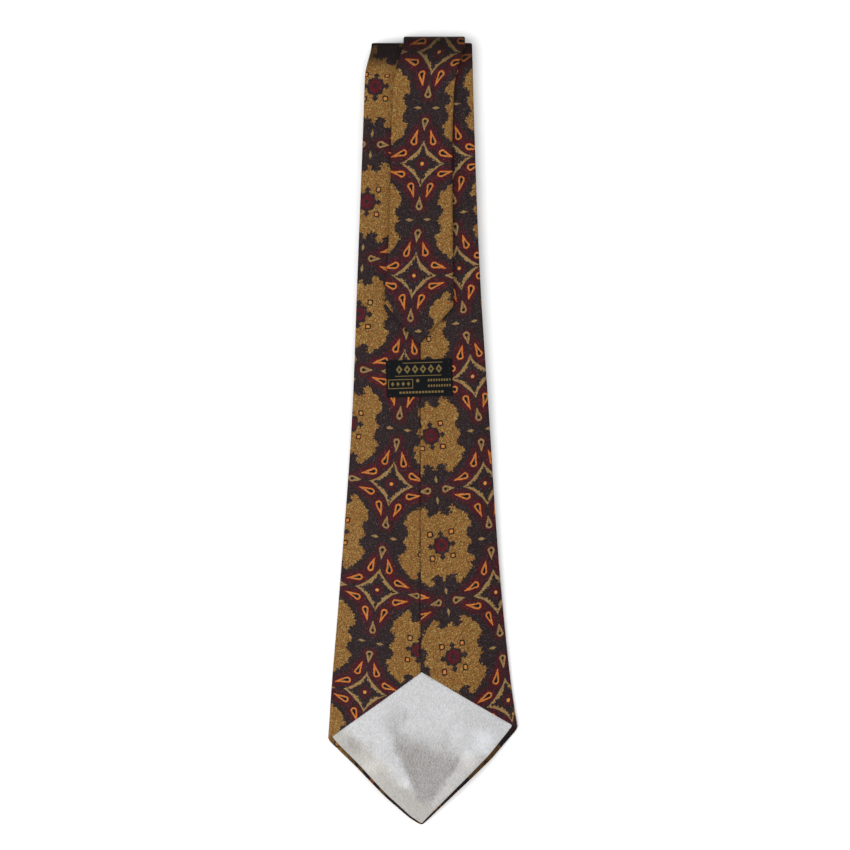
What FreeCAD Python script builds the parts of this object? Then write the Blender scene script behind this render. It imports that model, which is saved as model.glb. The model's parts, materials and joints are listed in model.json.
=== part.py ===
import FreeCAD
import Part
import math
import os

# A necktie folded for storage. The wide blade lies back up, its neck is folded under it twice, and the
# narrow tail comes over the top and lies on the blade.
#
# Millimetres. +Y runs from the blade's point to the folded top, +Z is up, and +X is to the right of someone
# who looks down on the blade's back. The origin is on the table under the middle of the folded length.
#
# The cloth lies in four layers. From the table up they are tail_under, blade_under, blade and tail. Each
# layer is a flattened tube of cloth with an interlining inside. Depths into a layer are measured from its
# printed front, which is 0, to its seamed back, which is LAYER.

# Cloth and interlining
LAYER = 2.0  # a flattened tube from front to back
CLOTH = 0.4  # one thickness of envelope cloth
PAD = (0.42, 1.22)  # depths of the interlining
LINING = (1.25, 1.55)  # depths of the tippings and of the threads inside the tube
ROOMY = (1.25, 1.6)  # depths of a seam allowance that lies on the back cloth
LAP = 8.0  # width of the right flap that lies over the left one
LAP_RISE = 0.5
LAP_OPEN = 6.0  # how much of the lap is only caught by the slip stitches
HAIR = 0.1  # the gap between cloths that touch
PAD_INSET = 1.6  # from the envelope's outer edge
TIPPING_INSET = 0.9

# How the layers are stacked and folded
BACKS_APART = 1.4
FRONTS_APART = 0.6
BLADE_UNDER_FRONT_Z = 2 * LAYER + BACKS_APART
BLADE_FRONT_Z = BLADE_UNDER_FRONT_Z + FRONTS_APART
TAIL_FRONT_Z = BLADE_FRONT_Z + 2 * LAYER + BACKS_APART
TOP_AXIS_Z = TAIL_FRONT_Z / 2
LOW_AXIS_Z = LAYER + BACKS_APART / 2
TOP_AXIS_Y = 203.1
LOW_AXIS_Y = -180.0
BEND_LOW_Y = -25.0  # the blade's end bends up between these two
BEND_HIGH_Y = -15.0

# Blade shape: its width decays from the corners of the point towards the neck
NARROW_LIMIT = 41.8
FLARE = 58.4
FLARE_FROM = 51.0
FLARE_LENGTH = 260.0
BLADE_TIP = (0.0, -208.8)
BLADE_RIGHT_CORNER = (50.3, -157.7)
BLADE_LEFT_CORNER = (-50.3, -163.5)

# Neck and tail
NECK_WIDTH = 34.0
NECK_X = 2.0  # middle of the lowest fold
TAIL_WIDTH = 32.6  # where it comes over the top
TAIL_X = 7.0
TAIL_SETTLED_X = 0.95  # where its lean ends
TAIL_SETTLED_Y = 178.0
TAIL_TIP = (-1.1, 45.0)
TAIL_RIGHT_CORNER = (17.3, 65.7)
TAIL_LEFT_CORNER = (-19.6, 67.6)

# Bias seams that join the three panels of the envelope
FRONT_SEAM_Y = -31.0
REAR_SEAM_Y = -60.0
BIAS = 45.0
SEAM_ALLOWANCE = 6.0

# Lined points: the flaps part at the apex, and turn in along a rim
BLADE_APEX = (0.4, -128.0)
BLADE_RIM = 2.6
BLADE_TIPPING_TOP_Y = -112.0
TAIL_APEX = (-1.0, 79.0)
TAIL_RIM = 1.4
TAIL_TIPPING_TOP_Y = 84.0

# Threads
THREAD = 0.28
BLADE_SEWN_TO_Y = -110.0
TAIL_SEWN_TO_Y = 88.0
STITCH_LENGTH = 15.0
STITCH_PITCH = 20.0
SPARE_LOOP_RADIUS = 4.5

# Keeper label
LABEL_PLACE = (-0.9, 27.7)
LABEL_LENGTH = 35.0
LABEL_HEIGHT = 19.6
LABEL_THICKNESS = 0.5
LABEL_TILT = 1.8
LABEL_FOLDED_END = 3.5
LABEL_SLACK = 0.6  # the keeper's clearance over the blade's back
LABEL_STITCHES = 6
LABEL_STITCH_SHARE = 0.6  # of each stitch's pitch

# Construction
EDGE_POINTS = 7  # on a curved edge
BEYOND = 2.0  # how far a hollow is drawn past the open end of a tube
FAR = 400.0
UP = FreeCAD.Vector(0, 0, 1)
ORIGIN = FreeCAD.Vector(0, 0, 0)


class Layer:
    """One flattened tube: the height of its front, and whether its back is up."""

    def __init__(self, front_z, back_is_up):
        self.front_z = front_z
        self.sign = 1 if back_is_up else -1

    def slab(self, face, depths):
        """A flat outline as a plate between two depths."""
        heights = sorted(self.front_z + self.sign * depth for depth in depths)
        placed = face.copy()
        placed.translate(UP * heights[0])
        return placed.extrude(UP * (heights[1] - heights[0]))


TAIL_UNDER = Layer(0.0, True)
BLADE_UNDER = Layer(BLADE_UNDER_FRONT_Z, False)
BLADE = Layer(BLADE_FRONT_Z, True)
TAIL = Layer(TAIL_FRONT_Z, False)


# Widths and middles along the tie


def blade_half(y):
    """Half of the blade's width."""
    from_tip = y - BLADE_TIP[1]
    return (NARROW_LIMIT + FLARE * math.exp((FLARE_FROM - from_tip) / FLARE_LENGTH)) / 2


def blade_middle(_y):
    return 0.0


def below_top(y):
    """0 at the top fold and 1 at the low fold."""
    return (TOP_AXIS_Y - y) / (TOP_AXIS_Y - LOW_AXIS_Y)


def blade_under_half(y):
    """Half of the hidden layer's width, which eases from the blade's to the neck's."""
    share = min(max(below_top(y), 0.0), 1.0)
    ease = (1 + math.cos(math.pi * share)) / 2
    return NECK_WIDTH / 2 + (blade_half(TOP_AXIS_Y) - NECK_WIDTH / 2) * ease


def blade_under_middle(y):
    return NECK_X * below_top(y)


def tail_under_half(y):
    return (TAIL_WIDTH + (NECK_WIDTH - TAIL_WIDTH) * below_top(y)) / 2


def tail_under_middle(y):
    return TAIL_X + (NECK_X - TAIL_X) * below_top(y)


def tail_middle(y):
    """The tail leans where it comes over the top, and then runs down to its point."""
    low_x, low_y, high_x, high_y = *TAIL_TIP, TAIL_SETTLED_X, TAIL_SETTLED_Y
    if y > TAIL_SETTLED_Y:
        low_x, low_y, high_x, high_y = high_x, high_y, TAIL_X, TOP_AXIS_Y
    return low_x + (high_x - low_x) * (y - low_y) / (high_y - low_y)


# Flat outlines


def corner_face(points):
    """A flat face with straight sides."""
    ring = [FreeCAD.Vector(x, y, 0) for x, y in points]
    return Part.Face(Part.makePolygon(ring + ring[:1]))


def straight_edge(start, end):
    return Part.makeLine(FreeCAD.Vector(*start, 0), FreeCAD.Vector(*end, 0))


def curved_edge(x_of_y, y_from, y_to):
    """A smooth edge along the tie."""
    step = (y_to - y_from) / (EDGE_POINTS - 1)
    heights = [y_from + step * i for i in range(EDGE_POINTS)]
    curve = Part.BSplineCurve()
    curve.interpolate([FreeCAD.Vector(x_of_y(y), y, 0) for y in heights])
    return curve.toShape()


def sides(middle, half):
    """The left and right edges of a stretch of the tie."""
    return lambda y: middle(y) - half(y), lambda y: middle(y) + half(y)


def strip_face(left, right, y_low, y_high, inset=0.0):
    """A stretch of the tie between two straight ends, with its sides moved in."""

    def inner_left(y):
        return left(y) + inset

    def inner_right(y):
        return right(y) - inset

    edges = [
        straight_edge((inner_left(y_low), y_low), (inner_right(y_low), y_low)),
        curved_edge(inner_right, y_low, y_high),
        straight_edge((inner_right(y_high), y_high), (inner_left(y_high), y_high)),
        curved_edge(inner_left, y_high, y_low),
    ]
    return Part.Face(Part.Wire(edges))


def inset_corner(before, corner, after, inset):
    """A corner of an outline that runs anticlockwise, moved in from both of its sides."""

    def inward(start, end):
        length = math.dist(start, end)
        return (start[1] - end[1]) / length, (end[0] - start[0]) / length

    first = inward(before, corner)
    second = inward(corner, after)
    scale = inset / (1 + first[0] * second[0] + first[1] * second[1])
    return tuple(c + scale * (f + g) for c, f, g in zip(corner, first, second))


def blade_end_sides():
    """The blade's edges below the bend, where each one swings a little to meet its own corner."""

    def side(corner):
        sign = 1 if corner[0] > 0 else -1
        swing = corner[0] - sign * blade_half(corner[1])
        reach = BEND_HIGH_Y - corner[1]
        return lambda y: sign * blade_half(y) + swing * (BEND_HIGH_Y - y) / reach

    return side(BLADE_LEFT_CORNER), side(BLADE_RIGHT_CORNER)


def blade_point(inset):
    """The left corner, tip and right corner of the blade's point, moved in from its edges."""
    left, right = blade_end_sides()
    left_low, right_low = BLADE_LEFT_CORNER, BLADE_RIGHT_CORNER
    left_next = (left(left_low[1] + 1), left_low[1] + 1)
    right_next = (right(right_low[1] + 1), right_low[1] + 1)
    return (
        inset_corner(left_next, left_low, BLADE_TIP, inset),
        inset_corner(left_low, BLADE_TIP, right_low, inset),
        inset_corner(BLADE_TIP, right_low, right_next, inset),
    )


def blade_end_face(y_high, inset=0.0):
    """The blade from its point to y_high, moved in from its edges."""
    left, right = blade_end_sides()
    left_corner, tip, right_corner = blade_point(inset)
    left_gap = left_corner[0] - left(left_corner[1])
    right_gap = right(right_corner[1]) - right_corner[0]

    def inner_left(y):
        return left(y) + left_gap

    def inner_right(y):
        return right(y) - right_gap

    edges = [
        straight_edge(tip, right_corner),
        curved_edge(inner_right, right_corner[1], y_high),
        straight_edge((inner_right(y_high), y_high), (inner_left(y_high), y_high)),
        curved_edge(inner_left, y_high, left_corner[1]),
        straight_edge(left_corner, tip),
    ]
    return Part.Face(Part.Wire(edges))


def tail_ring(past_fold):
    """The tail's corners from its tip anticlockwise, as far as the top fold or a little past it."""
    half = TAIL_WIDTH / 2
    high_y = TOP_AXIS_Y + past_fold
    return [
        TAIL_TIP,
        TAIL_RIGHT_CORNER,
        (TAIL_SETTLED_X + half, TAIL_SETTLED_Y),
        (TAIL_X + half, TOP_AXIS_Y),
        *([(TAIL_X + half, high_y), (TAIL_X - half, high_y)] if past_fold else []),
        (TAIL_X - half, TOP_AXIS_Y),
        (TAIL_SETTLED_X - half, TAIL_SETTLED_Y),
        TAIL_LEFT_CORNER,
    ]


def inset_ring(ring, inset):
    return [
        inset_corner(ring[i - 1], ring[i], ring[(i + 1) % len(ring)], inset)
        for i in range(len(ring))
    ]


def tail_face(y_high, inset=0.0):
    """The tail from its point to y_high, moved in from its edges."""
    ring = inset_ring(tail_ring(BEYOND + inset), inset)
    return corner_face(ring).common(below_line(y_high)).Faces[0]


def tail_point(inset):
    """The left corner, tip and right corner of the tail's point, moved in from its edges."""
    ring = inset_ring(tail_ring(0), inset)
    return ring[-1], ring[0], ring[1]


def below_line(y_high):
    """Everything below a level line."""
    return corner_face([(-FAR, -FAR), (FAR, -FAR), (FAR, y_high), (-FAR, y_high)])


def lengthwise_band(middle, x_from, x_to, heights):
    """A band that follows the tie's middle through the given heights."""
    right = [(middle(y) + x_to, y) for y in heights]
    left = [(middle(y) + x_from, y) for y in reversed(heights)]
    return corner_face(right + left)


# Envelope


def envelope_tube(layer, outline, hollow_outline, middle, lap_heights):
    """A flattened tube of cloth whose right flap lies over its left one at the back."""
    lap = lengthwise_band(middle, 0, LAP, lap_heights)
    open_lap = lengthwise_band(middle, -HAIR, LAP_OPEN, lap_heights)
    left_flap_end = lengthwise_band(middle, LAP_OPEN - 3 * HAIR, LAP_OPEN, lap_heights)
    tube = layer.slab(outline, (0, LAYER))
    tube = tube.cut(layer.slab(hollow_outline, (CLOTH, LAYER - CLOTH)))
    tube = tube.fuse(layer.slab(lap, (LAYER, LAYER + LAP_RISE)))
    tube = tube.cut(layer.slab(open_lap, (LAYER, LAYER + HAIR)))
    return tube.cut(layer.slab(left_flap_end, (LAYER - CLOTH - HAIR, LAYER + HAIR)))


def half_ring(axis_y, axis_z, middle, half, radii, at_top):
    """Half of a ring about an axis along X, on the side away from the middle of the tie."""
    start = FreeCAD.Vector(middle - half, axis_y, axis_z)
    inner, outer = sorted(radii)
    ring = Part.makeCylinder(outer, 2 * half, start, FreeCAD.Vector(1, 0, 0))
    ring = ring.cut(Part.makeCylinder(inner, 2 * half, start, FreeCAD.Vector(1, 0, 0)))
    side = Part.makeBox(FAR, FAR, FAR)
    side.translate(FreeCAD.Vector(-FAR / 2, axis_y if at_top else axis_y - FAR, -FAR / 2))
    return ring.common(side)


def envelope_fold(axis_y, axis_z, middle, half, inner, at_top):
    """The envelope where it turns over."""
    skin = half_ring(axis_y, axis_z, middle, half, (inner, inner + LAYER), at_top)
    hollow = (inner + CLOTH, inner + LAYER - CLOTH)
    return skin.cut(half_ring(axis_y, axis_z, middle, half - CLOTH, hollow, at_top))


def pad_fold(axis_y, axis_z, middle, half, front_radius, at_top):
    """The interlining where it turns over. A positive front radius has the back outside."""
    radii = [abs(front_radius + depth) for depth in PAD]
    return half_ring(axis_y, axis_z, middle, half - PAD_INSET, radii, at_top)


def lined_point(layer, tube, point, apex, rim):
    """Opens the back of a tube where the flaps part over the tipping."""
    left, tip, right = point
    opening = [apex, (left[0] + rim, left[1]), (tip[0], tip[1] + rim), (right[0] - rim, right[1])]
    opened = tube.cut(layer.slab(corner_face(opening), (LAYER - CLOTH - HAIR, LAYER + HAIR)))
    return opened.removeSplitter()


def joined(pieces):
    """Pieces of one cloth as one solid."""
    return pieces[0].fuse(pieces[1:]).removeSplitter()


# Bias seams


def above_bias(middle_x, seam_y, angle, gap=0.0):
    """The space above a slanted line."""
    space = Part.makeBox(2 * FAR, 2 * FAR, FAR)
    space.translate(FreeCAD.Vector(-FAR, gap, -FAR / 2))
    space.rotate(ORIGIN, UP, angle)
    space.translate(FreeCAD.Vector(middle_x, seam_y, 0))
    return space


def seam_allowances(layer, inner_strip, middle_x, seam_y, angle):
    """The two allowances of a bias seam, pressed open on the back cloth: above and below it."""
    plate = layer.slab(inner_strip, ROOMY)
    high = plate.common(above_bias(middle_x, seam_y, angle, THREAD))
    high = high.cut(above_bias(middle_x, seam_y, angle, THREAD + SEAM_ALLOWANCE))
    low = plate.cut(above_bias(middle_x, seam_y, angle, -THREAD))
    low = low.common(above_bias(middle_x, seam_y, angle, -THREAD - SEAM_ALLOWANCE))
    return high, low


def seam_thread(layer, inner_strip, middle_x, seam_y, angle):
    """The line of machine stitching between the allowances."""
    plate = layer.slab(inner_strip, LINING)
    line = plate.common(above_bias(middle_x, seam_y, angle, -THREAD / 2))
    return line.cut(above_bias(middle_x, seam_y, angle, THREAD / 2))


# Threads


def tipping_seam(layer, point):
    """The stitching that holds a tipping inside the two edges of a point."""
    outside = point(CLOTH + HAIR)
    inside = point(TIPPING_INSET - HAIR)
    return layer.slab(corner_face([*outside, *reversed(inside)]), LINING)


def slip_stitches(layer, middle, y_from, y_to, seam_y=None):
    """Long hand stitches inside the tube under the lap, kept clear of a bias seam."""
    clear = NECK_WIDTH / 2 + 2 * SEAM_ALLOWANCE
    count = int((y_to - y_from + STITCH_PITCH - STITCH_LENGTH) // STITCH_PITCH)
    stitches = []
    for i in range(count):
        low = y_from + STITCH_PITCH * i
        high = low + STITCH_LENGTH
        if seam_y is not None and low < seam_y + clear and high > seam_y - clear:
            continue
        x = LAP_OPEN / 2
        line = lengthwise_band(middle, x - THREAD / 2, x + THREAD / 2, [low, high])
        stitches.append(layer.slab(line, LINING))
    return stitches


def spare_loop(layer, middle, y):
    """The slack loop in which the slip stitching ends."""
    centre = FreeCAD.Vector(middle(y) - SPARE_LOOP_RADIUS, y, 0)
    outer = Part.Face(Part.Wire([Part.makeCircle(SPARE_LOOP_RADIUS, centre)]))
    inner = Part.Face(Part.Wire([Part.makeCircle(SPARE_LOOP_RADIUS - THREAD, centre)]))
    return layer.slab(outer.cut(inner).Faces[0], LINING)


# Keeper label


def label_block(x_from, x_to, y_from, y_to, z_from, z_to):
    """A block drawn about the label's own middle, then turned and moved onto the blade's back."""
    block = Part.makeBox(x_to - x_from, y_to - y_from, z_to - z_from)
    block.translate(FreeCAD.Vector(x_from, y_from, z_from))
    block.rotate(ORIGIN, UP, LABEL_TILT)
    block.translate(FreeCAD.Vector(*LABEL_PLACE, BLADE_FRONT_Z + LAYER))
    return block


def keeper_label():
    """A woven strap with slack under it, whose ends are folded in and sewn to the blade."""
    end = LABEL_LENGTH / 2
    inner = end - LABEL_FOLDED_END
    half = LABEL_HEIGHT / 2
    top = LABEL_SLACK + LABEL_THICKNESS
    strap = label_block(-end, end, -half, half, LABEL_SLACK, top)
    left = label_block(-end, -inner, -half, half, 0, LABEL_SLACK)
    right = label_block(inner, end, -half, half, 0, LABEL_SLACK)
    return joined([strap, left, right])


def label_stitches():
    """A short row of stitches along each end of the label."""
    pitch = LABEL_HEIGHT / LABEL_STITCHES
    low = pitch * (1 - LABEL_STITCH_SHARE) / 2
    top = LABEL_SLACK + LABEL_THICKNESS
    stitches = []
    for side in (-1, 1):
        x = side * (LABEL_LENGTH - LABEL_FOLDED_END) / 2
        for i in range(LABEL_STITCHES):
            y = pitch * i - LABEL_HEIGHT / 2 + low
            size = (x - THREAD / 2, x + THREAD / 2, y, y + pitch * LABEL_STITCH_SHARE)
            stitches.append(label_block(*size, top, top + THREAD))
    return Part.makeCompound(stitches)


# What each body is made of


def packet():
    """The blade's upper half, its fold, and the two layers under it."""
    top_inner = FRONTS_APART / 2
    low_inner = BACKS_APART / 2
    top_half = blade_half(TOP_AXIS_Y)
    neck_half = NECK_WIDTH / 2
    top_fold = (TOP_AXIS_Y, TOP_AXIS_Z, 0, top_half)
    low_fold = (LOW_AXIS_Y, LOW_AXIS_Z, NECK_X, neck_half)
    blade_run = (BEND_HIGH_Y, TOP_AXIS_Y)
    full_run = (LOW_AXIS_Y, TOP_AXIS_Y)
    blade_sides = sides(blade_middle, blade_half)
    under_sides = sides(blade_under_middle, blade_under_half)
    rear_sides = sides(tail_under_middle, tail_under_half)

    def tube(layer, edges, middle, run):
        hollow = strip_face(*edges, run[0] - BEYOND, run[1] + BEYOND, CLOTH)
        return envelope_tube(layer, strip_face(*edges, *run), hollow, middle, run)

    under = tube(BLADE_UNDER, under_sides, blade_under_middle, full_run)
    rear = tube(TAIL_UNDER, rear_sides, tail_under_middle, full_run)
    front_seam = (blade_under_middle(FRONT_SEAM_Y), FRONT_SEAM_Y, BIAS)
    rear_seam = (tail_under_middle(REAR_SEAM_Y), REAR_SEAM_Y, -BIAS)
    under_inside = strip_face(*under_sides, *full_run, TIPPING_INSET)
    rear_inside = strip_face(*rear_sides, *full_run, TIPPING_INSET)
    front_high, front_low = seam_allowances(BLADE_UNDER, under_inside, *front_seam)
    rear_high, rear_low = seam_allowances(TAIL_UNDER, rear_inside, *rear_seam)
    blade_panel = [
        tube(BLADE, blade_sides, blade_middle, blade_run),
        envelope_fold(*top_fold, top_inner, True),
        under.common(above_bias(*front_seam)),
        front_high,
    ]
    neck_panel = [
        under.cut(above_bias(*front_seam)),
        front_low,
        envelope_fold(*low_fold, low_inner, False),
        rear.cut(above_bias(*rear_seam)),
        rear_low,
    ]
    tail_panel = [rear.common(above_bias(*rear_seam)), rear_high]
    interlining = [
        BLADE.slab(strip_face(*blade_sides, *blade_run, PAD_INSET), PAD),
        pad_fold(*top_fold, top_inner, True),
        BLADE_UNDER.slab(strip_face(*under_sides, *full_run, PAD_INSET), PAD),
        pad_fold(*low_fold, -low_inner - LAYER, False),
        TAIL_UNDER.slab(strip_face(*rear_sides, *full_run, PAD_INSET), PAD),
    ]
    stitches = slip_stitches(BLADE, blade_middle, BEND_HIGH_Y + 1, TOP_AXIS_Y)
    stitches += slip_stitches(BLADE_UNDER, blade_under_middle, *full_run, FRONT_SEAM_Y)
    stitches += slip_stitches(TAIL_UNDER, tail_under_middle, *full_run, REAR_SEAM_Y)
    return {
        "blade_panel": joined(blade_panel),
        "neck_panel": joined(neck_panel),
        "tail_panel_under": joined(tail_panel),
        "interlining": joined(interlining),
        "seam_thread_front": seam_thread(BLADE_UNDER, under_inside, *front_seam),
        "seam_thread_rear": seam_thread(TAIL_UNDER, rear_inside, *rear_seam),
        "slip_stitches": Part.makeCompound(stitches),
        "keeper_label": keeper_label(),
        "label_stitches": label_stitches(),
    }


def blade_bend():
    """The strip of blade that bends when its end is turned up."""
    run = (BEND_LOW_Y, BEND_HIGH_Y)
    edges = blade_end_sides()
    flat = strip_face(*edges, *run)
    hollow = strip_face(*edges, run[0] - BEYOND, run[1] + BEYOND, CLOTH)
    return {
        "blade_panel_bend": envelope_tube(BLADE, flat, hollow, blade_middle, run),
        "interlining_bend": BLADE.slab(strip_face(*edges, *run, PAD_INSET), PAD),
    }


def blade_end():
    """What turns up with the blade's point."""
    hollow = blade_end_face(BEND_LOW_Y + BEYOND, CLOTH)
    lap_heights = (BLADE_APEX[1], BEND_LOW_Y)
    panel = envelope_tube(BLADE, blade_end_face(BEND_LOW_Y), hollow, blade_middle, lap_heights)
    tipping = blade_end_face(BLADE_TIPPING_TOP_Y, TIPPING_INSET)
    stitches = slip_stitches(BLADE, blade_middle, BLADE_SEWN_TO_Y, BEND_LOW_Y)
    return {
        "blade_panel_end": lined_point(BLADE, panel, blade_point(0), BLADE_APEX, BLADE_RIM),
        "blade_tipping": BLADE.slab(tipping, LINING),
        "blade_tipping_seam": tipping_seam(BLADE, blade_point),
        "interlining_blade_end": BLADE.slab(blade_end_face(BEND_LOW_Y, PAD_INSET), PAD),
        "slip_stitches_blade": Part.makeCompound(stitches),
    }


def tail_fold():
    """The outer top fold, which straightens as the tail is lifted over."""
    inner = TAIL_FRONT_Z - LAYER - TOP_AXIS_Z
    place = (TOP_AXIS_Y, TOP_AXIS_Z, TAIL_X, TAIL_WIDTH / 2)
    return {
        "tail_panel_fold": envelope_fold(*place, inner, True),
        "interlining_fold": pad_fold(*place, -inner - LAYER, True),
    }


def tail():
    """What lifts with the tail."""
    hollow = tail_face(TOP_AXIS_Y + BEYOND, CLOTH)
    lap_heights = (TAIL_APEX[1], TAIL_SETTLED_Y, TOP_AXIS_Y)
    panel = envelope_tube(TAIL, tail_face(TOP_AXIS_Y), hollow, tail_middle, lap_heights)
    loop_y = TAIL_SEWN_TO_Y + SPARE_LOOP_RADIUS
    stitches = [spare_loop(TAIL, tail_middle, loop_y)]
    stitches += slip_stitches(TAIL, tail_middle, loop_y + SPARE_LOOP_RADIUS, TAIL_SETTLED_Y)
    return {
        "tail_panel_end": lined_point(TAIL, panel, tail_point(0), TAIL_APEX, TAIL_RIM),
        "tail_tipping": TAIL.slab(tail_face(TAIL_TIPPING_TOP_Y, TIPPING_INSET), LINING),
        "tail_tipping_seam": tipping_seam(TAIL, tail_point),
        "interlining_tail_end": TAIL.slab(tail_face(TOP_AXIS_Y, PAD_INSET), PAD),
        "slip_stitches_tail": Part.makeCompound(stitches),
    }


def main():
    nodes = {**packet(), **blade_bend(), **blade_end(), **tail_fold(), **tail()}
    os.makedirs("parts", exist_ok=True)
    for name, shape in nodes.items():
        sound = all(solid.isValid() and solid.Volume > 0 for solid in shape.Solids)
        print(f"{name}: {len(shape.Solids)} solids, {shape.Volume:.1f} mm3, sound {sound}")
        shape.exportStep(f"parts/{name}.step")


main()
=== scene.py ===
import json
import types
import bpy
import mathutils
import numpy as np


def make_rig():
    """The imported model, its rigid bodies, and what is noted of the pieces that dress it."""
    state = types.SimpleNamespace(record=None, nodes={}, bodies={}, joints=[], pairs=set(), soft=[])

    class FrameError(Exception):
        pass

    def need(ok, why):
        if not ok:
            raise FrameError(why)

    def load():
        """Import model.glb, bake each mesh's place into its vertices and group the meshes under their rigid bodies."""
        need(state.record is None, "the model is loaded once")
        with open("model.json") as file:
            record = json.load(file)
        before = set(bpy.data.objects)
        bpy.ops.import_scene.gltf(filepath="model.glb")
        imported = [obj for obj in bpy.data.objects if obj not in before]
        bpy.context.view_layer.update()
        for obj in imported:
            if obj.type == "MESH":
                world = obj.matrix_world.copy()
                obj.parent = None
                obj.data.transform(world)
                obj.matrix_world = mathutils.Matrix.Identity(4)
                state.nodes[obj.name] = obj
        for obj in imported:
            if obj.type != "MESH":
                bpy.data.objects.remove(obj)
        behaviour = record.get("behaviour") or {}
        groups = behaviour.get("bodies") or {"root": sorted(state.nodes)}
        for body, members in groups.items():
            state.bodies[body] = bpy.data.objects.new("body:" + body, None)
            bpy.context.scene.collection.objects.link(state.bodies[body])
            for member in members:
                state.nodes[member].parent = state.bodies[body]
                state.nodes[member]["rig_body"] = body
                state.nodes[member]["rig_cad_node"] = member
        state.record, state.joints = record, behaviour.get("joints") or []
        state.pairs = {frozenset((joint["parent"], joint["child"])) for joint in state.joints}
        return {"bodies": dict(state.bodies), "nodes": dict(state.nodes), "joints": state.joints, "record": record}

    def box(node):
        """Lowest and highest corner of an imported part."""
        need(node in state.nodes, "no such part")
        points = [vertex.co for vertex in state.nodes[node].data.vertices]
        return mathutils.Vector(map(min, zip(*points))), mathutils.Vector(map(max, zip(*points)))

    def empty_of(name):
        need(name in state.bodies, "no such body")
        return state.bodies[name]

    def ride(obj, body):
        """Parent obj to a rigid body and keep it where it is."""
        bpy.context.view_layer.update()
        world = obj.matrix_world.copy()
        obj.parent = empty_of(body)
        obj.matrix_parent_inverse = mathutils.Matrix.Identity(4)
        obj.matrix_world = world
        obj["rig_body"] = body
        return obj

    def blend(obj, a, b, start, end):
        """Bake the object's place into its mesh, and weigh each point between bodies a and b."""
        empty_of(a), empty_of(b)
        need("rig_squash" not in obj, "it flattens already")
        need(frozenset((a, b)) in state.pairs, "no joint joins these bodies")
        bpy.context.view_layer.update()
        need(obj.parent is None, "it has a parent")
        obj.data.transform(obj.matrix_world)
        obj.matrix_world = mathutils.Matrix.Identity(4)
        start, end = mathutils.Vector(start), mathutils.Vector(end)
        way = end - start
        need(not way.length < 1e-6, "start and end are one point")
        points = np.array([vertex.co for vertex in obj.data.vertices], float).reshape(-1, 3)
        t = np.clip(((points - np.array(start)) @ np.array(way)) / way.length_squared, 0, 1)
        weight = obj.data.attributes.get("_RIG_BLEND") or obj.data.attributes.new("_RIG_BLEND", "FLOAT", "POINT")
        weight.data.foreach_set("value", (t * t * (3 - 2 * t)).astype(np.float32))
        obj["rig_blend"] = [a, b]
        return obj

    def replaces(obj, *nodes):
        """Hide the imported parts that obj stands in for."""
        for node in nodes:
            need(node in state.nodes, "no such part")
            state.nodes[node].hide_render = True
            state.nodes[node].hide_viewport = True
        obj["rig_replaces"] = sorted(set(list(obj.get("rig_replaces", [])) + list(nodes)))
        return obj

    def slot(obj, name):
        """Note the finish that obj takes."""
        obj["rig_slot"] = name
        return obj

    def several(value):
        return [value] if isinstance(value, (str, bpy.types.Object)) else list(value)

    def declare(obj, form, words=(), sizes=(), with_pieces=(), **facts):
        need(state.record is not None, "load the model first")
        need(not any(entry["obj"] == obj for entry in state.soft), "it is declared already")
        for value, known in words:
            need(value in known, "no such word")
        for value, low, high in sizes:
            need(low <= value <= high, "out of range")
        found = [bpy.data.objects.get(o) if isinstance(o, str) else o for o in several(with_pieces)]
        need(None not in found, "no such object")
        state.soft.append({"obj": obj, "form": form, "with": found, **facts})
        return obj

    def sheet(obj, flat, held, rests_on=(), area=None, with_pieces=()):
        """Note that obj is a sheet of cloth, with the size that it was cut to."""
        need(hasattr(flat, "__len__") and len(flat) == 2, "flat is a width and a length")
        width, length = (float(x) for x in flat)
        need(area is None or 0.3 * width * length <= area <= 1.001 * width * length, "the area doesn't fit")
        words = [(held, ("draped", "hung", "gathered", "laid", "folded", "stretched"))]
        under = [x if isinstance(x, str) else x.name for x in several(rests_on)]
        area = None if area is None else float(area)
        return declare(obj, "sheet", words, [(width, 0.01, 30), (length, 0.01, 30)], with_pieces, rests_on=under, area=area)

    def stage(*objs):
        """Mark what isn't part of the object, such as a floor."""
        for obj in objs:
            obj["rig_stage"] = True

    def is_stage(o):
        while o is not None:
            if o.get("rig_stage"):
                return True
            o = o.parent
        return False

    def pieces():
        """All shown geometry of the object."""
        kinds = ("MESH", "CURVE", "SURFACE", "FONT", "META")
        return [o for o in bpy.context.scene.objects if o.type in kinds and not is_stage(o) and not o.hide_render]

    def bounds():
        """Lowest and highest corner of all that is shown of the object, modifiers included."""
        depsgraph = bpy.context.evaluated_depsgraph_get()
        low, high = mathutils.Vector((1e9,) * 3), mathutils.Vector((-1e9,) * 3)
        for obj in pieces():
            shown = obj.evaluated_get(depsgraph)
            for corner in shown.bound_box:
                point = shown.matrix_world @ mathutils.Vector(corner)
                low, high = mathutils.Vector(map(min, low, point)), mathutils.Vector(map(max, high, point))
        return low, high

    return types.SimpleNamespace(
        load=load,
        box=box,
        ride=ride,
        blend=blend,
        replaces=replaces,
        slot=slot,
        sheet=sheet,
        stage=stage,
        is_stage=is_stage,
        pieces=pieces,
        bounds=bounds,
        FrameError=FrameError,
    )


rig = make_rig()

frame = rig.load()

import json
import math
from functools import partialmethod

import bpy
import numpy as np

CAD_BOX = [list(corner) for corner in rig.bounds()]

# A necktie folded for storage: the blade lies back up on its own folded neck, and the tail comes
# over the top and lies on it. Lengths are in millimetres in the row frame, and MM turns them into
# metres.
MM = 0.001


def box_mm(node):
    low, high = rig.box(node)
    return [c / MM for c in low], [c / MM for c in high]


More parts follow.
